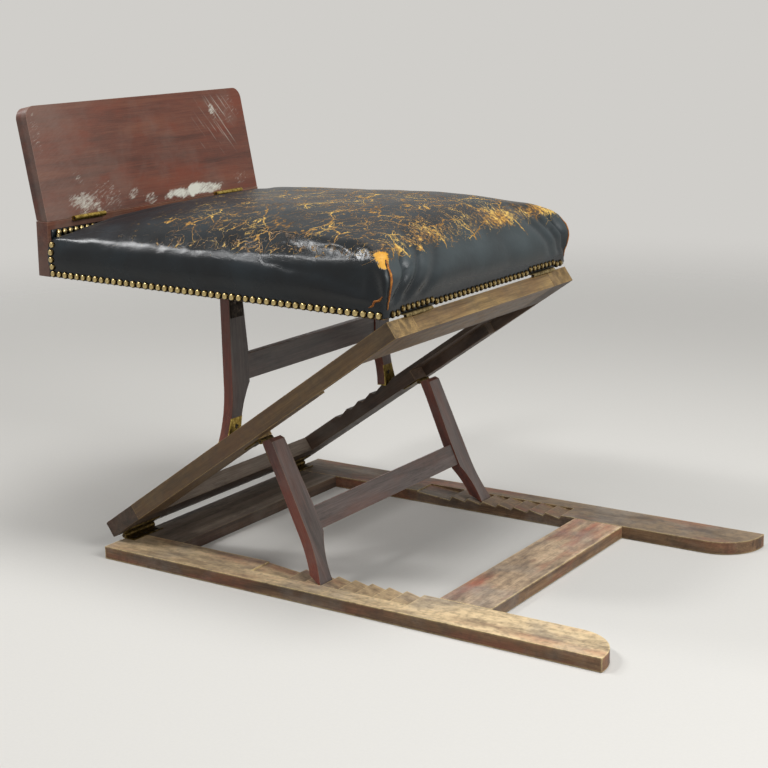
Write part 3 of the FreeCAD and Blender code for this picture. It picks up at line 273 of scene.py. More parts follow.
def woodMaterial(name, look):
    material, tree, shader = startMaterial(name)
    grain = put(tree, "ShaderNodeAttribute", out="Vector", attribute_name="grain")
    pale = put(tree, "ShaderNodeAttribute", out="Fac", attribute_name="pale")
    cloud = {}
    for pattern, length, width, settings in (
            # length along the grain and width across it, in mm
            ("figure", 14 * look["figure"], look["figure"], {"Detail": 4.0, "Distortion": 0.7}),
            ("fibre", 30 * look["fibre"], look["fibre"], {"Detail": 3.0, "Roughness": 0.65}),
            ("band", 130, 34, {"Detail": 5.0, "Roughness": 0.62}),
            ("patch", 70, 70, {"Detail": 5.0, "Roughness": 0.62}),
            ("speck", 8, 8, {"Detail": 5.0, "Roughness": 0.7}),
            ("smear", 75, 20, {"Detail": 7.0, "Roughness": 0.7})):
        space = put(tree, "ShaderNodeMapping", {
            "Vector": grain, "Scale": (1 / (length * mm), 1 / (width * mm), 1 / (width * mm))})
        cloud[pattern] = put(tree, "ShaderNodeTexNoise", {"Vector": space, "Scale": 1.0, **settings})
    blend = put(tree, "ShaderNodeMath", {0: cloud["figure"], 1: 0.58}, operation="MULTIPLY")
    blend = put(tree, "ShaderNodeMath", {0: cloud["fibre"], 1: 0.42, 2: blend}, operation="MULTIPLY_ADD")
    # main tones, and side tones for the pale faces: worn finish and painted light, lighter where a face turns to
    # the lamps, darker on the flap's near edge as painted shade
    colour, sideTones = [
        put(tree, "ShaderNodeValToRGB", {"Fac": blend}, stops=list(zip((0.36, 0.5, 0.64), look[tones])))
        for tones in ("tones", "pale")]
    if "bleach" in look:
        # the pale faces turn palest towards the front ends
        place = put(tree, "ShaderNodeTexCoord", out="Object")
        ahead = put(tree, "ShaderNodeSeparateXYZ", {"Vector": place}, out="X")
        low, high = look["bleachFrom"]
        reach = put(tree, "ShaderNodeMapRange", {
            "Value": ahead, "From Min": low, "From Max": high, "To Max": 0.35})
        reach = put(tree, "ShaderNodeMath", {0: cloud["speck"], 1: 0.5, 2: reach}, operation="MULTIPLY_ADD")
        reach = put(tree, "ShaderNodeValToRGB", {"Fac": reach}, stops=[(0.28, 0.0), (0.66, 0.95)])
        sideTones = put(tree, "ShaderNodeMix", {0: reach, 6: sideTones, 7: tint(look["bleach"])}, **colourMix)
    colour = put(tree, "ShaderNodeMix", {0: pale, 6: colour, 7: sideTones}, **colourMix)
    stains = [("flush", "band", [(0.50, 0.0), (0.66, look["flushAmount"])]),
              ("grey", "patch", [(0.48, 0.0), (0.68, look["greyAmount"])]),
              ("grime", "smear", [(0.34, look["grimeAmount"]), (0.47 + look.get("grimeSpread", 0), 0.0)])]
    if "mottle" in look:
        stains.append(("grime", "speck", [(0.36, look["mottle"]), (0.52, 0.0)]))
    for stain, pattern, stops in stains:
        mask = put(tree, "ShaderNodeValToRGB", {"Fac": cloud[pattern]}, stops=stops)
        colour = put(tree, "ShaderNodeMix", {0: mask, 6: colour, 7: tint(look[stain])}, **colourMix)
    # rubbed arrises: where a rounded normal departs from the true one
    rounded = put(tree, "ShaderNodeBevel", {"Radius": look["wornReach"] * mm}, samples=6)
    true = put(tree, "ShaderNodeNewGeometry", out="Normal")
    turn = put(tree, "ShaderNodeVectorMath", {0: rounded, 1: true}, out="Value", operation="DOT_PRODUCT")
    edge = put(tree, "ShaderNodeValToRGB", {"Fac": turn}, stops=[(0.86, look["wornAmount"]), (0.992, 0.0)])
    rubbed = put(tree, "ShaderNodeValToRGB", {"Fac": cloud["speck"]}, stops=[(0.32, 0.15), (0.54, 1.0)])
    mask = put(tree, "ShaderNodeMath", {0: edge, 1: rubbed}, operation="MULTIPLY")
    colour = put(tree, "ShaderNodeMix", {0: mask, 6: colour, 7: tint(look["worn"])}, **colourMix)
    if "scuffs" in look:
        colour = scuffedColour(tree, grain, colour, look["scuffs"])
    gloss = put(tree, "ShaderNodeMapRange", {
        "Value": cloud["speck"], "From Min": 0.3, "From Max": 0.7,
        "To Min": look["rough"] - 0.08, "To Max": look["rough"] + 0.14})
    bump = put(tree, "ShaderNodeBump", {"Height": cloud["fibre"], "Strength": 0.35, "Distance": 0.3 * mm})
    feed(tree, shader, {"Base Color": colour, "Roughness": gloss, "Normal": bump, "IOR": 1.5,
                        "Coat Weight": look["coat"], "Coat Roughness": 0.28})
    return material


def scuffedColour(tree, grain, colour, scuffs):
    # chalky scuffs broken into slanting streaks, and a few long scratches, on the front face alone
    along, up, through = [put(tree, "ShaderNodeSeparateXYZ", {"Vector": grain}, out=axis) for axis in "XYZ"]
    front = put(tree, "ShaderNodeMapRange", {"Value": through, "From Min": -2 * mm, "From Max": 2 * mm})
    marks = []
    for turn, sizes, settings in ((scuffs["streakTurn"], (11, 2.2, 4), {"Detail": 6.0, "Roughness": 0.72}),
                                  (scuffs["scratchTurn"], (70, 2.4, 30), {"Detail": 2.0})):
        turned = put(tree, "ShaderNodeMapping", {"Vector": grain, "Rotation": (0, 0, math.radians(turn))})
        space = put(tree, "ShaderNodeMapping", {"Vector": turned, "Scale": [1 / (size * mm) for size in sizes]})
        marks.append(put(tree, "ShaderNodeTexNoise", {"Vector": space, "Scale": 1.0, **settings}))
    streak, lines = marks
    ragged = put(tree, "ShaderNodeTexNoise", {"Vector": grain, "Scale": 1 / (16 * mm), "Detail": 4.0})
    ragged = put(tree, "ShaderNodeMapRange", {
        "Value": ragged, "From Min": 0.3, "From Max": 0.7, "To Min": -0.35, "To Max": 0.35})
    start, full = scuffs["hazeFrom"]
    film = put(tree, "ShaderNodeMapRange", {
        "Value": along, "From Min": start * mm, "From Max": full * mm, "To Max": scuffs["hazeAmount"]})
    film = put(tree, "ShaderNodeMath", {0: streak, 1: film}, operation="MULTIPLY")
    total = put(tree, "ShaderNodeMath", {0: streak, 1: 1.8}, operation="MULTIPLY")
    for middleAlong, middleUp, reachAlong, reachUp, strength in scuffs["spots"]:
        oval = put(tree, "ShaderNodeMapping", {
            "Vector": grain, "Scale": (1 / (reachAlong * mm), 1 / (reachUp * mm), 0),
            "Location": (-middleAlong / reachAlong, -middleUp / reachUp, 0)})
        away = put(tree, "ShaderNodeVectorMath", {0: oval}, out="Value", operation="LENGTH")
        away = put(tree, "ShaderNodeMath", {0: away, 1: ragged}, operation="ADD")
        spot = put(tree, "ShaderNodeMapRange", {
            "Value": away, "From Min": 1.15, "From Max": 0.45, "To Max": strength * 0.75},
            interpolation_type="SMOOTHSTEP")
        total = put(tree, "ShaderNodeMath", {0: spot, 1: total}, operation="ADD")
    chalk = put(tree, "ShaderNodeMapRange", {
        "Value": total, "From Min": 1.26, "From Max": 1.85, "To Max": 0.95})
    scratch = put(tree, "ShaderNodeValToRGB", {"Fac": lines}, stops=[(0.60, 0.0), (0.70, 0.5)])
    for way, middle, reach in zip((along, up), scuffs["scratches"][:2], scuffs["scratches"][2:]):
        away = put(tree, "ShaderNodeMath", {0: way, 1: middle * mm}, operation="SUBTRACT")
        away = put(tree, "ShaderNodeMath", {0: away}, operation="ABSOLUTE")
        fade = put(tree, "ShaderNodeMapRange", {
            "Value": away, "From Min": reach * mm, "From Max": reach * 0.5 * mm})
        scratch = put(tree, "ShaderNodeMath", {0: scratch, 1: fade}, operation="MULTIPLY")
    for mark, tone in ((film, "haze"), (chalk, "chalk"), (scratch, "chalk")):
        mask = put(tree, "ShaderNodeMath", {0: mark, 1: front}, operation="MULTIPLY")
        colour = put(tree, "ShaderNodeMix", {0: mask, 6: colour, 7: tint(scuffs[tone])}, **colourMix)
    return colour


# slope of the frame, lean of the lower prop and of the flap at rest, in degrees
frameTilt, lowerLean, flapLean = [math.radians(turn) for turn in (34.6, 24.5, 10.75)]
alongX, alongY, alongZ = (1, 0, 0), (0, 1, 0), (0, 0, 1)
alongSlope = (math.cos(frameTilt), 0, math.sin(frameTilt))
alongLower = (math.sin(lowerLean), 0, -math.cos(lowerLean))
lowerFront = (math.cos(lowerLean), 0, math.sin(lowerLean))
flapUp = (-math.sin(flapLean), 0, math.cos(flapLean))
woodPieces = {
    # node: look, grain direction, direction across it, pale side (worn and painted lit; on the flap, painted
    # shade), edge rounding in mm
    "left_runner": ("stainedMahogany", alongX, alongY, alongZ, 1.0),
    "right_runner": ("scuffedMahogany", alongX, alongY, alongZ, 1.0),
    "base_rear_rail": ("dustyMahogany", alongY, alongX, alongZ, 0.9),
    "base_cross_rail": ("flushedMahogany", alongY, alongX, alongZ, 0.9),
    "frame_left_rail": ("shadedMahogany", alongSlope, alongY, alongSlope, 0.8),
    "frame_right_rail": ("frameMahogany", alongSlope, alongY, alongSlope, 0.8),
    "frame_rear_rail": ("dustyMahogany", alongY, alongSlope, alongSlope, 0.8),
    "frame_front_rail": ("frameMahogany", alongY, alongSlope, alongSlope, 0.8),
    "lower_left_leg": ("handledMahogany", alongLower, alongY, lowerFront, 0.8),
    "lower_right_leg": ("handledMahogany", alongLower, alongY, lowerFront, 0.8),
    "lower_stretcher": ("handledMahogany", alongY, alongLower, lowerFront, 0.7),
    "upper_left_leg": ("handledMahogany", alongZ, alongY, alongX, 0.8),
    "upper_right_leg": ("handledMahogany", alongZ, alongY, alongX, 0.8),
    "upper_stretcher": ("handledMahogany", alongY, alongZ, alongX, 0.7),
    "seat_left_rail": ("sawnBeech", alongX, alongZ, alongZ, 0.6),
    "seat_right_rail": ("sawnBeech", alongX, alongZ, alongZ, 0.6),
    "seat_front_rail": ("sawnBeech", alongY, alongZ, alongZ, 0.6),
    "seat_rear_rail": ("sawnBeech", alongY, alongZ, alongZ, 0.6),
    "prop_cross_bar": ("sawnBeech", alongY, alongX, alongZ, 0.8),
    "end_board": ("polishedMahogany", alongY, alongZ, alongX, 0.8),
    "flap_board": ("flapMahogany", alongY, flapUp, (0, -1, 0), 1.2),
}
paleAhead = {"frame_left_rail": 0.1}  # metres along the floor, for rails that get the pale tones at the front end alone
# how squarely a face turns to the pale side: on the runners the flat is pale, and the sloping facets of the
# notches keep the darker tones as painted shade
paleTurn = {"left_runner": (0.95, 0.998), "right_runner": (0.95, 0.998), "others": (0.55, 0.9)}
woodArris = {"rounds": 2, "smooth": 38}
woods = {name: woodMaterial(name, look) for name, look in woodLooks.items()}
grainShift = np.random.RandomState(11)
for node, (look, along, across, paleSide, rounding) in woodPieces.items():
    mesh = eased(node, rounding, **woodArris)
    basis = np.array([along, across, np.cross(along, across)])
    anchor = np.array(jointAt["flap_fold"]) if node == "flap_board" else grainShift.uniform(-2, 2, 3)
    grain = (readPoints(mesh) - anchor) @ basis.T
    if node == "flap_board":
        grain[:, 2] -= (grain[:, 2].min() + grain[:, 2].max()) / 2  # its two faces lie either side of zero
    storeValues(mesh, "grain", grain, "FLOAT_VECTOR")
    ahead = paleAhead.get(node, -1)
    facing = [face.normal.dot(Vector(paleSide)) if face.center.x > ahead else 0 for face in mesh.polygons]
    low, high = paleTurn.get(node, paleTurn["others"])
    storeValues(mesh, "pale", smoothStep(low, high, np.array(facing)), "FLOAT", "FACE")
    piece = addObject(camelName(node), mesh, woods[look])
    piece.modifiers.new("evenShine", "WEIGHTED_NORMAL").keep_sharp = True
    dressNode(piece, node)
print("stage: wood done")

# metal: tones from the hollows to the rubbed places, patches of tarnish in mm
metalLooks = {
    # drawn brass hinges gone olive, yellow where they rub
    "tarnishedBrass": {"tones": ("#75612d", "#a58c45", "#ccb465"), "patch": 4, "rough": 0.40},
    # the front hinges, the same brass, duller and browner
    "dulledBrass": {"tones": ("#5f5236", "#8c7a50", "#b5a377"), "patch": 4, "rough": 0.42},
    # the same brass low on the frame, browned by damp and dirt
    "brownedBrass": {"tones": ("#3b2f1a", "#5e4d2a", "#7f6b3d"), "patch": 5, "rough": 0.45},
    # the upper prop's hinges, near black
    "blackenedBrass": {"tones": ("#1d1915", "#352e28", "#51473e"), "patch": 5, "rough": 0.5},
    # nail domes pressed from brass, rubbed on top and painted lighter there as highlight, with brown and painted
    # shade round the rims
    "rubbedBrass": {"tones": ("#0f0b06", "#4c3d21", "#bfab78"), "patch": 4, "rough": 0.24},
    # old iron pins and screws, dull grey brown
    "dullIron": {"tones": ("#2c2724", "#4b433c", "#6a6057"), "patch": 3, "rough": 0.5},
}
leafLooks = {
    # the hinges that aren't tarnished brass
    "brownedBrass": ("rear_hinge_base_leaves", "rear_hinge_frame_leaves",
                     "lower_prop_rail_leaves", "lower_prop_leg_leaves"),
    "blackenedBrass": ("upper_prop_bar_leaves", "upper_prop_leg_leaves"),
    "dulledBrass": ("front_hinge_frame_leaves", "front_hinge_seat_leaves"),
}
leafArris = {"width": 0.3, "rounds": 1, "smooth": 32}


def metalMaterial(name, look, domed):
    material, tree, shader = startMaterial(name)
    place = put(tree, "ShaderNodeTexCoord", out="Object")
    cloud = put(tree, "ShaderNodeTexNoise", {
        "Vector": place, "Scale": 1 / (look["patch"] * mm), "Detail": 5.0, "Roughness": 0.65})
    tone = cloud
    low, high = 0.36, 0.66
    if domed:
        # on the nails the crown is painted lighter as highlight and the rims darker as shade, and the shade
        # attribute paints the front row darker as shade
        dome = put(tree, "ShaderNodeAttribute", out="Fac", attribute_name="dome")
        shade = put(tree, "ShaderNodeAttribute", out="Fac", attribute_name="shade")
        tone = put(tree, "ShaderNodeMath", {0: cloud, 1: 0.5, 2: dome}, operation="MULTIPLY_ADD")
        tone = put(tree, "ShaderNodeMath", {0: tone, 1: shade}, operation="MULTIPLY")
        low, high = 0.42, 1.25
    places = (low, (low + high) / 2, min(1.0, high))
    colour = put(tree, "ShaderNodeValToRGB", {"Fac": tone}, stops=list(zip(places, look["tones"])))
    gloss = put(tree, "ShaderNodeMapRange", {
        "Value": cloud, "From Min": 0.3, "From Max": 0.7,
        "To Min": look["rough"] + 0.12, "To Max": look["rough"] - 0.06})
    bump = put(tree, "ShaderNodeBump", {"Height": cloud, "Strength": 0.25, "Distance": 0.2 * mm})
    feed(tree, shader, {"Base Color": colour, "Roughness": gloss, "Normal": bump, "Metallic": 1.0})
    return material


metals = {name: metalMaterial(name, look, name == "rubbedBrass") for name, look in metalLooks.items()}
for node in bodyOf:
    if node.endswith("_leaves") or node == "upper_shoes":
        mesh = eased(node, **leafArris)
        look = next((name for name, nodes in leafLooks.items() if node in nodes), "tarnishedBrass")
        dressNode(addObject(camelName(node), mesh, metals[look]), node)
    elif node.endswith("_pins"):
        paintNode(node, metals["dullIron"])
print("stage: hinges done")


def bakedMesh(thing):
    view = bpy.context.evaluated_depsgraph_get()
    return bpy.data.meshes.new_from_object(
        thing.evaluated_get(view), preserve_all_data_layers=True, depsgraph=view)


def studTree(name, head, material):
    # sets one copy of a head on every point, turned to the point's facing and spun about it
    tree = bpy.data.node_groups.new(name, "GeometryNodeTree")
    sockets = tree.interface
    sockets.new_socket("Points", in_out="INPUT", socket_type="NodeSocketGeometry")
    for label, start in (("Head Size", 1.0), ("Size Spread", 0.04), ("Spin", 6.28)):
        sockets.new_socket(label, in_out="INPUT", socket_type="NodeSocketFloat").default_value = start
    sockets.new_socket("Studs", in_out="OUTPUT", socket_type="NodeSocketGeometry")
    given = put(tree, "NodeGroupInput").node.outputs
    facing = put(tree, "GeometryNodeInputNamedAttribute", {"Name": "facing"}, data_type="FLOAT_VECTOR")
    upright = put(tree, "FunctionNodeAlignRotationToVector", {"Vector": facing}, axis="Z")
    spin = put(tree, "FunctionNodeRandomValue", {2: 0.0, 3: given["Spin"], "Seed": 5}, out=1, data_type="FLOAT")
    about = put(tree, "FunctionNodeAxisAngleToRotation", {"Axis": (0, 0, 1), "Angle": spin})
    turned = put(tree, "FunctionNodeRotateRotation", {"Rotation": upright, "Rotate By": about},
                 rotation_space="LOCAL")
    low, high = [put(tree, "ShaderNodeMath", {0: given["Head Size"], 1: given["Size Spread"]}, operation=change)
                 for change in ("SUBTRACT", "ADD")]
    size = put(tree, "FunctionNodeRandomValue", {2: low, 3: high, "Seed": 9}, out=1, data_type="FLOAT")
    source = put(tree, "GeometryNodeObjectInfo", {"Object": head, "As Instance": True}, out="Geometry")
    studs = put(tree, "GeometryNodeInstanceOnPoints", {
        "Points": given["Points"], "Instance": source, "Rotation": turned, "Scale": size})
    real = put(tree, "GeometryNodeRealizeInstances", {"Geometry": studs})
    painted = put(tree, "GeometryNodeSetMaterial", {"Geometry": real, "Material": material})
    put(tree, "NodeGroupOutput", {"Studs": painted})
    return tree


def setStuds(name, tree, points, facings, shades, settings):
    mesh = bpy.data.meshes.new(name + "Points")
    mesh.from_pydata([tuple(p) for p in points], [], [])
    storeValues(mesh, "facing", [tuple(f) for f in facings], "FLOAT_VECTOR")
    storeValues(mesh, "shade", shades)
    carrier = addObject(name + "Points", mesh)
    modifier = carrier.modifiers.new("studs", "NODES")
    modifier.node_group = tree
    for socket in tree.interface.items_tree:
        if socket.in_out == "INPUT" and socket.name in settings:
            modifier[socket.identifier] = settings[socket.name]
    plain = bakedMesh(carrier)
    carrier.modifiers.remove(modifier)
    bpy.data.objects.remove(carrier)
    plain.name = name
    return addObject(name, plain)


# countersunk screws with slotted heads, set where the CAD screws are
screwHead = {"radius": 2.62, "crown": 0.25, "slotWidth": 0.75, "slotDepth": 0.7, "spread": 0.03, "spin": 6.28,
             "cadRadius": 2.7, "arcSteps": 8}


def slottedHead():
    # two half discs with the slot between them, and its floor
    form = bmesh.new()
    radius, half = screwHead["radius"] * mm, screwHead["slotWidth"] / 2 * mm
    top, floor = screwHead["crown"] * mm, (screwHead["crown"] - screwHead["slotDepth"]) * mm
    start, last = math.asin(half / radius), screwHead["arcSteps"]
    for side in (0, math.pi):
        arc = [side + a for a in np.linspace(start, math.pi - start, last + 1)]
        rim = [(radius * math.cos(a), radius * math.sin(a)) for a in arc]
        upper = [form.verts.new((x, y, top * 0.35)) for x, y in rim]
        lower = [form.verts.new((x, y, floor)) for x, y in rim]
        inner = [form.verts.new((x * 0.8, y if i in (0, last) else y * 0.8, top))
                 for i, (x, y) in enumerate(rim)]
        form.faces.new(inner)
        for i in range(last):
            form.faces.new((upper[i], upper[i + 1], inner[i + 1], inner[i]))
            form.faces.new((lower[i], lower[i + 1], upper[i + 1], upper[i]))
        form.faces.new((lower[last], lower[0], upper[0], inner[0], inner[last], upper[last]))
    bed = [form.verts.new((radius * 0.99 * math.cos(a), radius * 0.99 * math.sin(a), floor + 0.02 * mm))
           for a in np.linspace(0, 2 * math.pi, 2 * last, endpoint=False)]
    form.faces.new(bed)
    bmesh.ops.recalc_face_normals(form, faces=form.faces)
    return bpy.data.objects.new("screwHead", meshFrom(form, "screwHead"))


def screwSeats(node):
    # the middle of each CAD screw's head, and the way it faces
    form = mergedCopy(node)
    points, facings = [], []
    disc = math.pi * (screwHead["cadRadius"] * mm) ** 2
    for face in form.faces:
        if abs(face.calc_area() - disc) < 0.12 * disc:
            points.append(face.calc_center_median())
            facings.append(face.normal.copy())
    form.free()
    return points, facings


screwSource = slottedHead()
screwTree = studTree("slottedScrews", screwSource, metals["dullIron"])
for node in bodyOf:
    if node.endswith("_screws"):
        points, facings = screwSeats(node)
        screws = setStuds(camelName(node), screwTree, points, facings, np.ones(len(points)), {
            "Head Size": 1.0, "Size Spread": screwHead["spread"], "Spin": screwHead["spin"]})
        dressNode(screws, node)
        print("%s: %d heads" % (node, len(points)))
bpy.data.objects.remove(screwSource)
print("stage: screws done")

# leather pad: worked out on the level seat, with its front hinge axis as origin, then tipped as the seat is
seatForm = {"tilt": 1.1, "under": 0.2, "front": -2.45, "length": 460, "half": 194}  # degrees, then mm
seatTurn = Matrix.Translation(jointAt["seat_lift"]) @ Matrix.Rotation(math.radians(seatForm["tilt"]), 4, "Y")
padUnder = seatForm["under"] * mm
padFront = seatForm["front"] * mm
padRear = padFront - seatForm["length"] * mm
padHalf = seatForm["half"] * mm
padForm = {
    # height above the underside at mid length, inset, corner radius, in mm
    "side": [(-7, 0, 4), (0, 0, 4), (8, -0.2, 4), (16, -1.2, 5), (25, -2.5, 6), (33, -2.9, 7), (40, -2.0, 8),
             (46, 0.4, 9), (51, 4.4, 12), (55, 10, 16)],
    "crownInsets": (19, 29, 43, 62, 90, 125, 165), "fold": 56.5, "foldRise": 11,
    # crown height and how square its section is, at the front and at the board
    "crown": (29, 24), "sideFullness": (2.3, 6.0), "frontFullness": 5.0, "rearFullness": 9.0, "crownIn": 6,
    # how the front swells and its top edge rolls back, over what inset, and how the board holds the rear
    "frontBulge": 2.5, "frontRoll": 0.6, "rollDepth": 10, "rearRoll": 0.3, "rearTuck": 7, "rearHold": 14,
    # corners: share of a ring's radius and the most it may be
    "frontCorner": (0.75, 60), "rearCorner": (1, 14), "crownCorner": 12, "arcSteps": 6, "runSteps": 30,
    # trims: above the underside, ahead of the board, and the width of the turned-in edge
    "trimUnder": 1.6, "trimRear": 0.3, "hem": 1.8,
    # cloth: mesh size, how far it is held above the underside and ahead of the board, the most it may move
    "voxel": 5.0, "heldLow": (10, 10), "heldRear": (3, 14), "frames": 20, "cap": 4.5,
}
hideCloth = {"uniform_pressure_force": 2.6, "quality": 6, "mass": 0.5, "tension_stiffness": 30,
             "compression_stiffness": 30, "shear_stiffness": 12, "bending_stiffness": 4}


def roundedRing(inset, corner):
    # points round the pad, the same number on every ring
    roll = (1 - padForm["frontRoll"]) * min(inset, padForm["rollDepth"])
    front = padFront - (inset * padForm["frontBulge"] if inset < 0 else inset - roll) * mm
    rear = padRear - padForm["rearTuck"] * mm + max(0.0, inset - padForm["rearHold"]) * mm
    half = padHalf - inset * mm
    centres = []
    for x, y, start in ((front, half, 0), (rear, half, 90), (rear, -half, 180), (front, -half, 270)):
        share, most = padForm["frontCorner" if x == front else "rearCorner"]
        radius = min(corner * share, most) * mm
        centres.append((x - radius if x == front else x + radius, y - math.copysign(radius, y), radius, start))
    points = []
    for index, (x, y, radius, start) in enumerate(centres):
        turns = [math.radians(start + 90 / padForm["arcSteps"] * i) for i in range(padForm["arcSteps"] + 1)]
        points += [(x + radius * math.cos(a), y + radius * math.sin(a)) for a in turns]
        lastX, lastY = points[-1]
        nextX, nextY, nextRadius, nextStart = centres[(index + 1) % 4]
        nextX += nextRadius * math.cos(math.radians(nextStart))
        nextY += nextRadius * math.sin(math.radians(nextStart))
        for share in np.arange(1, padForm["runSteps"]) / padForm["runSteps"]:
            points.append((lastX * (1 - share) + nextX * share, lastY * (1 - share) + nextY * share))
    return points


def smoothStations(stations, steps):
    # Catmull-Rom through the stations
    rows = np.array(stations, float)
    padded = np.vstack([2 * rows[0] - rows[1], rows, 2 * rows[-1] - rows[-2]])
    smooth = []
    for i in range(1, len(padded) - 2):
        p0, p1, p2, p3 = padded[i - 1:i + 3]
        for s in np.linspace(0, 1, steps, endpoint=False):
            smooth.append(0.5 * (2 * p1 + (p2 - p0) * s + (2 * p0 - 5 * p1 + 4 * p2 - p3) * s * s
                                 + (3 * p1 - p0 - 3 * p2 + p3) * s ** 3))
    return smooth + [rows[-1]]


def foldScale(x):
    # the fold climbs from the board to the front
    along = np.clip((x - padRear) / (padFront - padRear), -0.05, 1.05) * 2 - 1
    return 1 + along * padForm["foldRise"] / padForm["fold"]


def padBlank():
    rings = []
    middle = (padFront + padRear) / 2
    for height, inset, corner in smoothStations(padForm["side"], 3):
        ring = []
        for x, y in roundedRing(inset, corner):
            spread = (1 - padForm["rearRoll"]) * max(0, inset) * smoothStep(middle, padRear, x) * mm
            rise = height * (foldScale(x) if height > 0 else 1) * mm
            ring.append((x, y + math.copysign(spread, y), padUnder + rise))
        rings.append(ring)
    for inset in padForm["crownInsets"]:
        ring = []
        for x, y in roundedRing(inset, padForm["crownCorner"] + inset):
            u = np.clip((x - middle) / (padFront - padForm["crownIn"] * mm - middle), -1, 1)
            v = np.clip(y / (padHalf - padForm["crownIn"] * mm), -1, 1)
            crown, square = [ahead + (behind - ahead) * (1 - u) ** 2 / 4
                             for ahead, behind in (padForm["crown"], padForm["sideFullness"])]
            rise = 1 - abs(u) ** padForm["frontFullness" if u > 0 else "rearFullness"]
            rise *= crown * (1 - abs(v) ** square)
            ring.append((x, y, padUnder + (padForm["fold"] * foldScale(x) + rise) * mm))
        rings.append(ring)
    form = bmesh.new()
    rows = [[form.verts.new(p) for p in ring] for ring in rings]
    skin(form, rows)
    bmesh.ops.triangulate(form, faces=[form.faces.new(rows[-1]), form.faces.new(list(reversed(rows[0])))])
    bmesh.ops.recalc_face_normals(form, faces=form.faces)
    return meshFrom(form, "padBlank")


def puffedPad():
    # the blank swollen by cloth pressure, held at the nails and the board
    blank = addObject("padBlank", padBlank())
    even = blank.modifiers.new("even", "REMESH")
    even.mode = "VOXEL"
    even.voxel_size = padForm["voxel"] * mm
    mesh = bakedMesh(blank)
    bpy.data.objects.remove(blank)
    pad = addObject("padCloth", mesh)
    before = readPoints(mesh)
    held = pad.vertex_groups.new(name="held")
    start, reach = padForm["heldLow"]
    low = 1 - (before[:, 2] - padUnder - start * mm) / (reach * mm)
    start, reach = padForm["heldRear"]
    back = 1 - (before[:, 0] - padRear - start * mm) / (reach * mm)
    for i, weight in enumerate(np.clip(np.maximum(low, back), 0, 1)):
        held.add([i], float(weight), "REPLACE")
    cloth = pad.modifiers.new("leather", "CLOTH")
    cloth.settings.vertex_group_mass = "held"
    cloth.settings.use_pressure = True
    cloth.settings.effector_weights.gravity = 0.0
    for key, value in hideCloth.items():
        setattr(cloth.settings, key, value)
    cloth.point_cache.frame_start = 1
    cloth.point_cache.frame_end = padForm["frames"]
    for step in range(1, padForm["frames"] + 1):
        scene.frame_set(step)
    move = readPoints(bakedMesh(pad)) - before
    pad.modifiers.remove(cloth)
    pad.vertex_groups.clear()
    scene.frame_set(1)
    length = np.linalg.norm(move, axis=1, keepdims=True)
    print("cloth moved up to %.1f mm, mean %.1f mm" % (length.max() / mm, length.mean() / mm))
    movePoints(mesh, before + move * np.minimum(1, padForm["cap"] * mm / np.maximum(length, 1e-9)))
    finer = pad.modifiers.new("finer", "SUBSURF")
    finer.levels = finer.render_levels = 1
    fine = bakedMesh(pad)
    bpy.data.objects.remove(pad)
    return fine


def leatherCover():
    mesh = puffedPad()
    form = bmesh.new()
    form.from_mesh(mesh)
    # trimmed at the nails' lower edge and at the board, with a thin turned-in edge
    for point, way in (((0, 0, padUnder + padForm["trimUnder"] * mm), (0, 0, 1)),
                       ((padRear + padForm["trimRear"] * mm, 0, 0), (1, 0, 0))):
        bmesh.ops.bisect_plane(form, geom=form.verts[:] + form.edges[:] + form.faces[:], dist=1e-6,
                               plane_co=point, plane_no=way, clear_inner=True)
    rim = [edge for edge in form.edges if edge.is_boundary]
    turned = bmesh.ops.extrude_edge_only(form, edges=rim)["geom"]
    hem = padForm["hem"] * mm
    for vert in [part for part in turned if isinstance(part, bmesh.types.BMVert)]:
        vert.co.x = min(vert.co.x, padFront - hem)
        vert.co.y = max(-padHalf + hem, min(padHalf - hem, vert.co.y))
    bmesh.ops.recalc_face_normals(form, faces=form.faces)
    form.to_mesh(mesh)
    form.free()
    mesh.name = "leatherCover"
    shapeLeather(mesh)
    mesh.shade_smooth()
    return mesh


leatherWear = {
    # front face folds: place across from -1 near to 1 far, lean, width, depth in mm
    "folds": [(0.92, 0.30, 0.030, 4.2), (0.83, 0.42, 0.035, 3.6), (0.71, 0.5, 0.05, 2.4),
              (-0.85, -0.42, 0.035, 5.0), (-0.73, -0.55, 0.045, 4.2), (-0.57, -0.6, 0.06, 2.8),
              (0.25, 0.2, 0.09, 1.0)],
    # bare amber spots: behind the front, from the middle, above the underside, reach
    "torn": [(7, -186, 68, 17), (2, -190, 59, 12)],
    # height of the belly, above which the front is painted lighter with dust and light and below which it is
    # painted as shade, at the middle, and its fall towards the far corner
    "belly": 22, "bellyFall": 12, "lumps": 0.8,
}
wearNames = ("crackle", "nearFold", "frontFold", "torn", "dull", "satin")


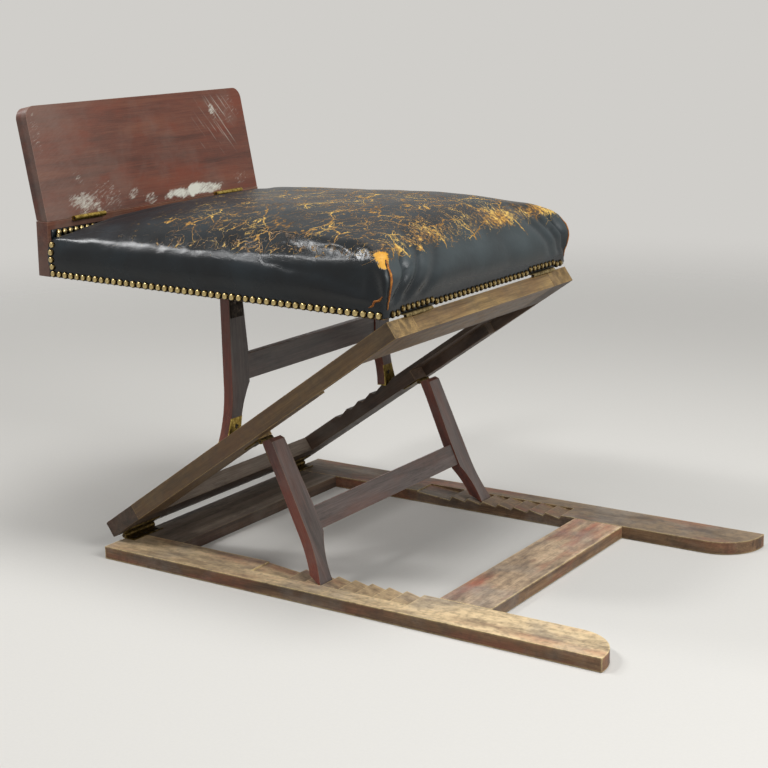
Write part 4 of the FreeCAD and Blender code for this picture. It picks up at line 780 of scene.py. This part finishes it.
def shapeLeather(mesh):
    # slack folds at the corners of the front, a lumpy crown, and where the wear lies
    place = readPoints(mesh)
    normal = readPoints(mesh, "normal")
    along = (place[:, 0] - padRear) / (padFront - padRear)
    across = place[:, 1] / padHalf
    height = (place[:, 2] - padUnder) / mm / foldScale(place[:, 0])
    aboveNails = smoothStep(8, 18, height)
    frontFace = smoothStep(0.45, 0.85, normal[:, 0]) * aboveNails
    sideFace = smoothStep(0.5, 0.85, np.abs(normal[:, 1])) * aboveNails
    top = smoothStep(0.5, 0.8, normal[:, 2])
    lumps = np.array([noise.noise(Vector(p) * 14.0) + 0.6 * noise.noise(Vector(p) * 34.0) for p in place])
    folds = np.zeros(len(place))
    foldSpan = smoothStep(8, 20, height) * smoothStep(62, 48, height)
    for centre, lean, width, depth in leatherWear["folds"]:
        line = centre - lean * (height - 30) / 100
        folds -= depth * np.exp(-((across - line) / width) ** 2) * foldSpan
    ripple = np.array([noise.noise(Vector((p[0] * 22.0, 3.1, p[2] * 6.0))) for p in place])
    pucker = np.array([noise.noise(Vector((p[0] * 45.0, p[1] * 45.0, 1.7))) for p in place])
    pucker *= np.exp(-((height - 55) / 9) ** 2)
    shift = leatherWear["lumps"] * lumps * (top + 0.5 * frontFace + 0.3 * sideFace) + folds * frontFace
    shift += 0.5 * ripple * sideFace + 0.9 * pucker
    shift *= smoothStep(2, 10, height) * smoothStep(0.0, 0.03, along)
    movePoints(mesh, place + normal * shift[:, None] * mm)
    # crack cover: the crown's middle and front, thinning to the board and stopping below the fold
    crown = smoothStep(42, 54, height)
    storeValues(mesh, "crackle", crown * (0.12 + 0.88 * smoothStep(0.12, 0.45, along))
                * (1 - 0.25 * smoothStep(0.78, 0.98, np.abs(across))))
    storeValues(mesh, "nearFold", np.exp(-((height - 56) / 7) ** 2) * smoothStep(0.7, 0.95, np.abs(across))
                * smoothStep(0.12, 0.4, along) * (1 - smoothStep(0.93, 0.98, along)))
    frontEdge = np.exp(-((place[:, 0] - (padFront - 18 * mm)) / (22 * mm)) ** 2) * smoothStep(48, 56, height)
    bias = 0.40 + 0.34 * np.exp(-((across - 0.34) / 0.16) ** 2) + 0.2 * np.exp(-((across + 0.45) / 0.12) ** 2)
    bias += 0.55 * smoothStep(0.55, 0.95, across)
    storeValues(mesh, "frontFold", np.clip(frontEdge * bias * 1.35, 0, 1))
    farCorner = np.linalg.norm((place - np.array([padFront - 3 * mm, padHalf - 3 * mm, padUnder + 62 * mm]))
                               * np.array([0.6, 1.0, 0.75]), axis=1)
    bare = 0.8 * smoothStep(12 * mm, 3 * mm, farCorner)
    for back, side, rise, reach in leatherWear["torn"]:
        away = np.linalg.norm(place - np.array([padFront - back * mm, side * mm, padUnder + rise * mm]), axis=1)
        bare = np.maximum(bare, smoothStep(reach * mm, 0.45 * reach * mm, away))
    storeValues(mesh, "torn", bare)
    # the front is dull, grey with dust and painted light on its belly, with painted shade below it and in the
    # folds
    belly = leatherWear["belly"] - leatherWear["bellyFall"] * across
    dust = (0.3 + 0.7 * smoothStep(belly - 9, belly + 9, height)) * (1 - 0.6 * np.clip(-folds / 4, 0, 1))
    storeValues(mesh, "dull", frontFace * dust)
    storeValues(mesh, "satin", smoothStep(0.8, 0.94, normal[:, 2]))


hideLook = {
    # crack nets: cell size, half width of a crack in mm, where the noise lets it open
    "nets": [(52, 1.15, 0.72), (24, 0.85, 0.78), (11, 0.55, 0.88)],
    "hide": ("#0a0d11", "#11181d", "#1c262c"), "amber": ("#4a3214", "#b8863a", "#edc568"),
    "bare": "#dc9a1c", "dust": "#4a5355", "rough": 0.15,
    # finer cracks: noise scale each way, half width, where they lie, strength
    "hairs": [((48, 48, 48), 0.013, "crackle", 0.6), ((75, 26, 26), 0.016, "nearFold", 0.85),
              ((70, 260, 70), 0.060, "frontFold", 1.0)],
}


def leatherMaterial():
    # bark-tanned hide dyed blue black and glazed: glossy, its finish cracked open to the amber underlayer
    material, tree, shader = startMaterial("glazedHide")
    place = put(tree, "ShaderNodeTexCoord", out="Object")
    wear = {name: put(tree, "ShaderNodeAttribute", out="Fac", attribute_name=name) for name in wearNames}
    drift = put(tree, "ShaderNodeTexNoise", {
        "Vector": place, "Scale": 1 / (20 * mm), "Detail": 5.0}, out="Color")
    drift = put(tree, "ShaderNodeVectorMath", {0: drift, 1: (0.5, 0.5, 0.5)}, operation="SUBTRACT")
    drift = put(tree, "ShaderNodeVectorMath", {0: drift, "Scale": 24 * mm}, operation="SCALE")
    bent = put(tree, "ShaderNodeVectorMath", {0: place, 1: drift}, operation="ADD")
    cracks = 0.0
    for cell, width, start in hideLook["nets"]:
        net = put(tree, "ShaderNodeTexVoronoi", {"Vector": bent, "Scale": 1 / (cell * mm)}, out="Distance",
                  feature="DISTANCE_TO_EDGE")
        gate = put(tree, "ShaderNodeTexNoise", {"Vector": place, "Scale": 1 / (cell * 1.1 * mm), "Detail": 4.0})
        gate = put(tree, "ShaderNodeMapRange", {
            "Value": gate, "From Min": 0.3, "From Max": 0.7, "To Min": 0.18, "To Max": 0.82}, clamp=False)
        gate = put(tree, "ShaderNodeMath", {0: wear["crackle"], 1: 0.45, 2: gate}, operation="MULTIPLY_ADD")
        gate = put(tree, "ShaderNodeMapRange", {
            "Value": gate, "From Min": start + 0.08, "From Max": start + 0.34, "To Max": width / cell})
        line = put(tree, "ShaderNodeMapRange", {"Value": net, "From Min": gate, "From Max": 0.0},
                   interpolation_type="SMOOTHSTEP")
        cracks = put(tree, "ShaderNodeMath", {0: cracks, 1: line}, operation="MAXIMUM")
    # hair cracks over the crown, and cracks that run across the two folds
    for scale, half, name, amount in hideLook["hairs"]:
        space = put(tree, "ShaderNodeMapping", {"Vector": bent, "Scale": scale})
        wave = put(tree, "ShaderNodeTexNoise", {"Vector": space, "Scale": 1.0, "Detail": 2.0})
        wave = put(tree, "ShaderNodeMath", {0: wave, 1: 0.5}, operation="SUBTRACT")
        wave = put(tree, "ShaderNodeMath", {0: wave}, operation="ABSOLUTE")
        gate = put(tree, "ShaderNodeTexNoise", {"Vector": place, "Scale": 1 / (17 * mm), "Detail": 4.0})
        gate = put(tree, "ShaderNodeMath", {0: wear[name], 1: 0.5, 2: gate}, operation="MULTIPLY_ADD")
        gate = put(tree, "ShaderNodeMapRange", {
            "Value": gate, "From Min": 0.72, "From Max": 1.02, "To Max": half})
        line = put(tree, "ShaderNodeMapRange", {
            "Value": wave, "From Min": gate, "From Max": 0.0, "To Max": amount},
            interpolation_type="SMOOTHSTEP")
        cracks = put(tree, "ShaderNodeMath", {0: cracks, 1: line}, operation="MAXIMUM")
    flake = put(tree, "ShaderNodeTexNoise", {
        "Vector": bent, "Scale": 1 / (4.5 * mm), "Detail": 6.0, "Roughness": 0.7})
    under = cracks
    for name, amount, start, full in (("frontFold", 0.36, 0.74, 0.92), ("torn", 0.6, 0.82, 0.96)):
        bare = put(tree, "ShaderNodeMath", {0: wear[name], 1: amount, 2: flake}, operation="MULTIPLY_ADD")
        bare = put(tree, "ShaderNodeMapRange", {"Value": bare, "From Min": start, "From Max": full})
        under = put(tree, "ShaderNodeMath", {0: under, 1: bare}, operation="MAXIMUM")
    cloud = put(tree, "ShaderNodeTexNoise", {"Vector": place, "Scale": 1 / (55 * mm), "Detail": 5.0})
    hide = put(tree, "ShaderNodeValToRGB", {"Fac": cloud}, stops=list(zip((0.3, 0.5, 0.7), hideLook["hide"])))
    # the front face mixed towards the grey of dust together with painted light, thinned by painted shade below the
    # belly and in the folds
    mask = put(tree, "ShaderNodeMath", {0: wear["dull"], 1: cloud}, operation="MULTIPLY")
    hide = put(tree, "ShaderNodeMix", {0: mask, 6: hide, 7: tint(hideLook["dust"])}, **colourMix)
    tone = put(tree, "ShaderNodeTexNoise", {"Vector": place, "Scale": 1 / (38 * mm), "Detail": 3.0})
    tone = put(tree, "ShaderNodeMath", {0: flake, 1: tone}, operation="ADD")
    tone = put(tree, "ShaderNodeMath", {0: bare, 1: 0.1, 2: tone}, operation="MULTIPLY_ADD")
    tone = put(tree, "ShaderNodeMath", {0: tone, 1: 0.5}, operation="MULTIPLY")
    amber = put(tree, "ShaderNodeValToRGB", {"Fac": tone},
                stops=list(zip((0.41, 0.5, 0.59), hideLook["amber"])))
    deep = put(tree, "ShaderNodeMath", {0: bare, 1: 0.7}, operation="MULTIPLY")
    amber = put(tree, "ShaderNodeMix", {0: deep, 6: amber, 7: tint(hideLook["bare"])}, **colourMix)
    colour = put(tree, "ShaderNodeMix", {0: under, 6: hide, 7: amber}, **colourMix)
    # pebble drawn at 1.6 mm, coarser than real grain so that it shows
    pebble = put(tree, "ShaderNodeTexVoronoi", {"Vector": place, "Scale": 1 / (1.6 * mm)}, out="Distance")
    dent = put(tree, "ShaderNodeTexNoise", {"Vector": bent, "Scale": 1 / (13 * mm), "Detail": 3.0})
    relief = 0.0
    for height, amount in ((pebble, 0.1), (flake, 0.4), (under, -0.8), (dent, 1.6)):
        relief = put(tree, "ShaderNodeMath", {0: height, 1: amount, 2: relief}, operation="MULTIPLY_ADD")
    bump = put(tree, "ShaderNodeBump", {"Height": relief, "Strength": 0.38, "Distance": 0.6 * mm})
    rough = hideLook["rough"]
    gloss = put(tree, "ShaderNodeMapRange", {
        "Value": cloud, "From Min": 0.3, "From Max": 0.7, "To Min": rough, "To Max": rough + 0.10})
    for mask, amount in ((wear["dull"], 0.3), (wear["satin"], 0.20), (under, 0.3)):
        gloss = put(tree, "ShaderNodeMath", {0: mask, 1: amount, 2: gloss}, operation="MULTIPLY_ADD")
    feed(tree, shader, {"Base Color": colour, "Roughness": gloss, "Normal": bump, "IOR": 1.41})
    return material


coverMesh = leatherCover()
coverShape = bmesh.new()
coverShape.from_mesh(coverMesh)
coverSkin = BVHTree.FromBMesh(coverShape)
coverShape.free()
hide = leatherMaterial()
coverMesh.transform(seatTurn)
cover = addObject("leatherCover", coverMesh, hide)
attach(cover, "seat")
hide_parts("leather_cover", "stuffing")
print("stage: leather done, %d faces" % len(cover.data.polygons))

# raw edges: a burst corner seam with its dark slit, and the leather strip turned up against the board
seamForm = {
    # behind the front, from the middle, above the underside, in mm
    "near": [(-8, -190.5, 9), (-8, -190.5, 22), (-8, -189.5, 36), (-8, -188, 48), (-8, -186, 63),
             (-4, -184.5, 70)],
    "far": [(-8, 189, 10), (-8, 190, 26), (-8, 190, 42), (-8, 189, 54), (-6, 186, 63)],
    "tag": [(3, -200, 24), (6, -200, 21), (10, -200, 19), (13, -200, 14), (18, -200, 11)],
    # half widths, how proud they stand and how far the slit lies beside the edge
    "edgeWidth": 1.5, "farWidth": 0.7, "tagWidth": 1.4, "edgeProud": 1.1,
    "slitWidth": 1.3, "slitShift": -2.9, "slitProud": 0.25,
}
edgeLooks = {
    # cut edge of the hide, orange brown and fibrous
    "rawHideEdge": {"tones": ("#5a2c0c", "#a5601c", "#d08f38"), "rough": 0.75},
    # the dark gap of the burst seam, shadowed horsehair behind it
    "seamShadow": {"tones": ("#080706", "#0f0c0a", "#1b1510"), "rough": 0.9},
}


def edgeMaterial(name, look):
    material, tree, shader = startMaterial(name)
    place = put(tree, "ShaderNodeTexCoord", out="Object")
    fibre = put(tree, "ShaderNodeTexNoise", {
        "Vector": place, "Scale": 1 / (3.5 * mm), "Detail": 5.0, "Roughness": 0.7})
    colour = put(tree, "ShaderNodeValToRGB", {"Fac": fibre}, stops=list(zip((0.34, 0.5, 0.66), look["tones"])))
    bump = put(tree, "ShaderNodeBump", {"Height": fibre, "Strength": 0.5, "Distance": 0.4 * mm})
    feed(tree, shader, {"Base Color": colour, "Normal": bump, "Roughness": look["rough"]})
    return material


def surfaceStrip(form, path, half, proud):
    # a low bead laid along the leather, thinning out at both ends
    hits = [coverSkin.find_nearest(Vector(point))[:2] for point in path]
    rows = []
    for index, (spot, normal) in enumerate(hits):
        ahead = hits[min(index + 1, len(hits) - 1)][0] - hits[max(index - 1, 0)][0]
        side = ahead.normalized().cross(normal).normalized()
        thin = min(1.0, 0.35 + 2.4 * min(index, len(hits) - 1 - index) / len(hits))
        ragged = half * thin * (1 + 0.35 * noise.noise(spot * 260))
        rows.append([form.verts.new(spot + side * ragged * s + normal * proud * thin * h)
                     for s, h in ((-1, -0.6), (-0.8, 0.5), (-0.1, 1), (0.7, 0.6), (1, -0.6))])
    skin(form, rows, ends=True)


def seamPath(points, shift):
    spots = smoothStations([(padFront / mm - back, y + shift, h) for back, y, h in points], 6)
    return [Vector((x, y, h)) * mm + Vector((0, 0, padUnder)) for x, y, h in spots]


bandForm = {"low": 41, "high": 54, "thick": 2.0, "half": 189, "steps": 90}


def bandStrip():
    # leather turned up the board under the end nails
    form = bmesh.new()
    rows = []
    low, high, thick = [bandForm[key] for key in ("low", "high", "thick")]
    for y in np.linspace(-bandForm["half"], bandForm["half"], bandForm["steps"]):
        wave = 0.5 * noise.noise(Vector((0.0, y * 0.09, 4.2)))
        shape = [(0.2, low), (thick, low), (thick + 0.2 * wave, high - 3), (thick * 0.8, high + wave - 0.8),
                 (thick * 0.35, high + wave), (0.2, high + wave - 0.2)]
        rows.append([form.verts.new((padRear + x * mm, y * mm, padUnder + z * mm)) for x, z in shape])
    skin(form, rows, ends=True)
    return form


def seatTrim(name, form, material):
    # a leather trim made on the level seat, then tipped as the seat is
    bmesh.ops.recalc_face_normals(form, faces=form.faces)
    mesh = meshFrom(form, name)
    mesh.transform(seatTurn)
    mesh.shade_smooth()
    if material == hide:
        for wear in wearNames:
            storeValues(mesh, wear, np.zeros(len(mesh.vertices)))
    trim = addObject(name, mesh, material)
    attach(trim, "seat")


edges = {name: edgeMaterial(name, look) for name, look in edgeLooks.items()}
for name, look, proud, shift, jobs in (
        ("cornerSeam", "rawHideEdge", "edgeProud", 0,
         (("near", "edgeWidth"), ("far", "farWidth"), ("tag", "tagWidth"))),
        ("cornerSlit", "seamShadow", "slitProud", seamForm["slitShift"], (("near", "slitWidth"),))):
    form = bmesh.new()
    for side, width in jobs:
        surfaceStrip(form, seamPath(seamForm[side], shift), seamForm[width] * mm, seamForm[proud] * mm)
    seatTrim(name, form, edges[look])
seatTrim("boardBand", bandStrip(), hide)
print("stage: raw edges done")

# domed nails nearly head to head, lifted where they pass over the front hinges
nailRow = {"radius": 4.2, "rise": 3.0, "sides": 12, "pitch": 9.3, "height": 4.4, "sideIn": 6.3,
           "columnPitch": 8.3, "columnCount": 5, "frontHalf": 179.2, "endHeight": 50, "endOut": 2.5,
           "hingeSpread": 134, "hingeReach": 29.9, "hingeLift": 3.0, "spread": 0.035, "spin": 6.28,
           "frontShade": 0.80}


def evenSteps(start, end):
    return np.linspace(start, end, int(round((end - start) / (nailRow["pitch"] * mm))) + 1)


def nailPoints():
    points, facings, shades = [], [], []
    level = padUnder + nailRow["height"] * mm
    steps = evenSteps(padRear + nailRow["sideIn"] * mm, padFront - nailRow["sideIn"] * mm)
    seats = [(x, level) for x in steps]
    seats += [(steps[0], level + i * nailRow["columnPitch"] * mm) for i in range(1, nailRow["columnCount"] + 1)]
    for side in (-1, 1):
        for x, z in seats:
            spot = coverSkin.ray_cast(Vector((x, side * 0.24, z)), Vector((0, -side, 0)))[0]
            points.append(spot if spot else Vector((x, side * padHalf, z)))
            facings.append((0, side, 0.05))
            shades.append(1.0)
    half = nailRow["frontHalf"] * mm
    for y in evenSteps(-half, half):
        over = abs(abs(y) - nailRow["hingeSpread"] * mm) < nailRow["hingeReach"] * mm
        points.append(Vector((padFront, y, level + (nailRow["hingeLift"] * mm if over else 0))))
        facings.append((1, 0, 0.05))
        points.append(Vector((padRear + nailRow["endOut"] * mm, y, padUnder + nailRow["endHeight"] * mm)))
        facings.append((1, 0, 0.08))
        shades += [nailRow["frontShade"], 1.0]
    turn = seatTurn.to_3x3()
    return [seatTurn @ point for point in points], [turn @ Vector(way) for way in facings], shades


def domedHead():
    # a shallow dome turned from a profile, closed at its crown
    form = bmesh.new()
    radius, rise, sides = nailRow["radius"] * mm, nailRow["rise"] * mm, nailRow["sides"]
    profile = [(radius * 0.97, -0.6 * mm), (radius, 0.15 * mm)]
    profile += [(radius * math.cos(a), rise * math.sin(a)) for a in np.array((0.3, 0.58, 0.82)) * math.pi / 2]
    rings = [[form.verts.new((r * math.cos(a), r * math.sin(a), h))
              for a in np.linspace(0, 2 * math.pi, sides, endpoint=False)] for r, h in profile]
    crown = form.verts.new((0, 0, rise))
    skin(form, rings)
    for i in range(sides):
        form.faces.new((rings[-1][i], rings[-1][(i + 1) % sides], crown))
    mesh = meshFrom(form, "nailHead")
    mesh.shade_smooth()
    storeValues(mesh, "dome", np.clip(readPoints(mesh)[:, 2] / rise, 0, 1))
    return bpy.data.objects.new("nailHead", mesh)


nailSource = domedHead()
nailTree = studTree("nailRows", nailSource, metals["rubbedBrass"])
nails = setStuds("domedNails", nailTree, *nailPoints(), {
    "Head Size": 1.0, "Size Spread": nailRow["spread"], "Spin": nailRow["spin"]})
nails.data.shade_smooth()
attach(nails, "seat")
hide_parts("left_side_nails", "right_side_nails", "front_nails", "end_nails")
bpy.data.objects.remove(nailSource)
print("stage: nails done, %d faces" % len(nails.data.polygons))

# cloth under the seat
clothLooks = {
    # jute webbing, a flat woven strap gone straw brown
    "juteWebbing": {"tones": ("#5c4d34", "#a8946a"), "thread": 2.6, "nodes": ("long_webbing", "cross_webbing")},
    # hessian, an open plain weave, brown with dust
    "hessianCloth": {"tones": ("#4c3c26", "#8b7450"), "thread": 1.9, "nodes": ("hessian",)},
}


def clothMaterial(name, look):
    material, tree, shader = startMaterial(name)
    place = put(tree, "ShaderNodeTexCoord", out="Object")
    # a wave repeats every pi / 10 of its scaled length
    waves = [put(tree, "ShaderNodeTexWave", {
        "Vector": place, "Scale": 0.314 / (look["thread"] * mm), "Distortion": 0.6, "Detail": 1.0}, out="Fac",
        bands_direction=axis) for axis in ("X", "Y")]
    weave = put(tree, "ShaderNodeMath", {0: waves[0], 1: waves[1]}, operation="MAXIMUM")
    dirt = put(tree, "ShaderNodeTexNoise", {"Vector": place, "Scale": 1 / (40 * mm), "Detail": 5.0})
    tone = put(tree, "ShaderNodeMath", {0: weave, 1: dirt}, operation="MULTIPLY")
    colour = put(tree, "ShaderNodeValToRGB", {"Fac": tone}, stops=list(zip((0.15, 0.6), look["tones"])))
    bump = put(tree, "ShaderNodeBump", {"Height": weave, "Strength": 0.6, "Distance": 0.5 * mm})
    feed(tree, shader, {"Base Color": colour, "Normal": bump, "Roughness": 0.85})
    return material


for name, look in clothLooks.items():
    cloth = clothMaterial(name, look)
    for node in look["nodes"]:
        paintNode(node, cloth)
print("stage: underside done")

# floor, light and camera
studio = {
    "floor": ("#d8d6d1", "#dddbd6"), "floorUnlit": "#8b8985", "floorFade": (0.8, 2.6), "floorDrop": 0.4,
    "backdrop": "#d0ceca", "ambient": 0.11,
    "lamps": [
        # name, place, aim, size in metres, watts
        ("frontLamp", (2.0, -0.45, 1.35), (0.0, 0.0, 0.25), 1.0, 30),
        ("highLamp", (0.3, 0.15, 2.35), (0.0, 0.0, 0.3), 1.0, 27),
        ("gleamLamp", (-1.2, -1.25, 2.3), (-0.1, -0.1, 0.35), 0.40, 18),
        ("foldLamp", (-1.97, -0.71, 2.05), (-0.2, -0.15, 0.36), 0.55, 14),
    ],
}
camera = {"azimuth": 33.95, "elevation": 13.44, "roll": -1.22, "distance": 1.8589,
          "target": (-0.00743, 0.0, 0.19259), "lens": 75.70}

fadeStart, fadeEnd = studio["floorFade"]
reach = fadeEnd + 0.2
corners = [(x * reach, y * reach, -studio["floorDrop"] * mm) for x, y in ((-1, -1), (1, -1), (1, 1), (-1, 1))]
floorMesh = bpy.data.meshes.new("floor")
floorMesh.from_pydata(corners, [], [(0, 1, 2, 3)])
# matt paper sweep that fades into the backdrop
floorPaint, floorTree, floorShader = startMaterial("mattPaper")
place = put(floorTree, "ShaderNodeTexCoord", out="Object")
grit = put(floorTree, "ShaderNodeTexNoise", {"Vector": place, "Scale": 1 / (3 * mm), "Detail": 3.0})
dim, bright = [tint(shade) for shade in studio["floor"]]
paper = put(floorTree, "ShaderNodeMix", {0: grit, 6: dim, 7: bright}, **colourMix)
bounce = put(floorTree, "ShaderNodeLightPath", out="Is Diffuse Ray")
paper = put(floorTree, "ShaderNodeMix", {0: bounce, 6: paper, 7: tint(studio["floorUnlit"])}, **colourMix)
feed(floorTree, floorShader, {"Base Color": paper, "Roughness": 0.9})
away = put(floorTree, "ShaderNodeVectorMath", {0: place}, out="Value", operation="LENGTH")
fade = put(floorTree, "ShaderNodeMapRange", {
    "Value": away, "From Min": fadeStart, "From Max": fadeEnd}, interpolation_type="SMOOTHSTEP")
clear = put(floorTree, "ShaderNodeBsdfTransparent")
mixed = put(floorTree, "ShaderNodeMixShader", {0: fade, 1: floorShader.outputs["BSDF"], 2: clear})
floorTree.links.new(mixed, floorTree.nodes["Material Output"].inputs["Surface"])
floor = addObject("floor", floorMesh, floorPaint)

world = bpy.data.worlds.new("studioWorld")
scene.world = world
world.use_nodes = True
sky = world.node_tree
sky.nodes.clear()
ray = put(sky, "ShaderNodeLightPath").node.outputs
seen = put(sky, "ShaderNodeMath", {0: ray["Is Camera Ray"], 1: ray["Is Transmission Ray"]}, operation="MAXIMUM")
seen = put(sky, "ShaderNodeMath", {0: seen, 1: ray["Is Glossy Ray"]}, operation="MAXIMUM")
soft = put(sky, "ShaderNodeBackground", {"Color": (1, 1, 1, 1), "Strength": studio["ambient"]})
plain = put(sky, "ShaderNodeBackground", {"Color": tint(studio["backdrop"]), "Strength": 1.0})
both = put(sky, "ShaderNodeMixShader", {0: seen, 1: soft, 2: plain})
put(sky, "ShaderNodeOutputWorld", {"Surface": both})

for name, position, aim, size, watts in studio["lamps"]:
    lamp = bpy.data.lights.new(name, "AREA")
    lamp.size = size
    lamp.energy = watts
    holder = bpy.data.objects.new(name, lamp)
    look = (Vector(aim) - Vector(position)).to_track_quat("-Z", "Y")
    holder.matrix_world = Matrix.Translation(position) @ look.to_matrix().to_4x4()
    scene.collection.objects.link(holder)

azimuth, elevation, roll = [math.radians(camera[key]) for key in ("azimuth", "elevation", "roll")]
right = Vector((math.cos(azimuth), math.sin(azimuth), 0))
level = Vector((math.sin(azimuth), -math.cos(azimuth), 0))
back = level * math.cos(elevation) + Vector((0, 0, math.sin(elevation)))
right = right * math.cos(roll) + back.cross(right) * math.sin(roll)
turn = Matrix((right, back.cross(right), back)).transposed().to_4x4()
lens = bpy.data.cameras.new("photoCamera")
lens.lens = camera["lens"]
lens.sensor_width = 36.0
lens.sensor_fit = "HORIZONTAL"
lens.clip_end = 60.0
holder = bpy.data.objects.new("photoCamera", lens)
holder.matrix_world = Matrix.Translation(Vector(camera["target"]) + back * camera["distance"]) @ turn
scene.collection.objects.link(holder)
scene.camera = holder
scene.view_settings.view_transform = "Standard"
print("stage: studio done")
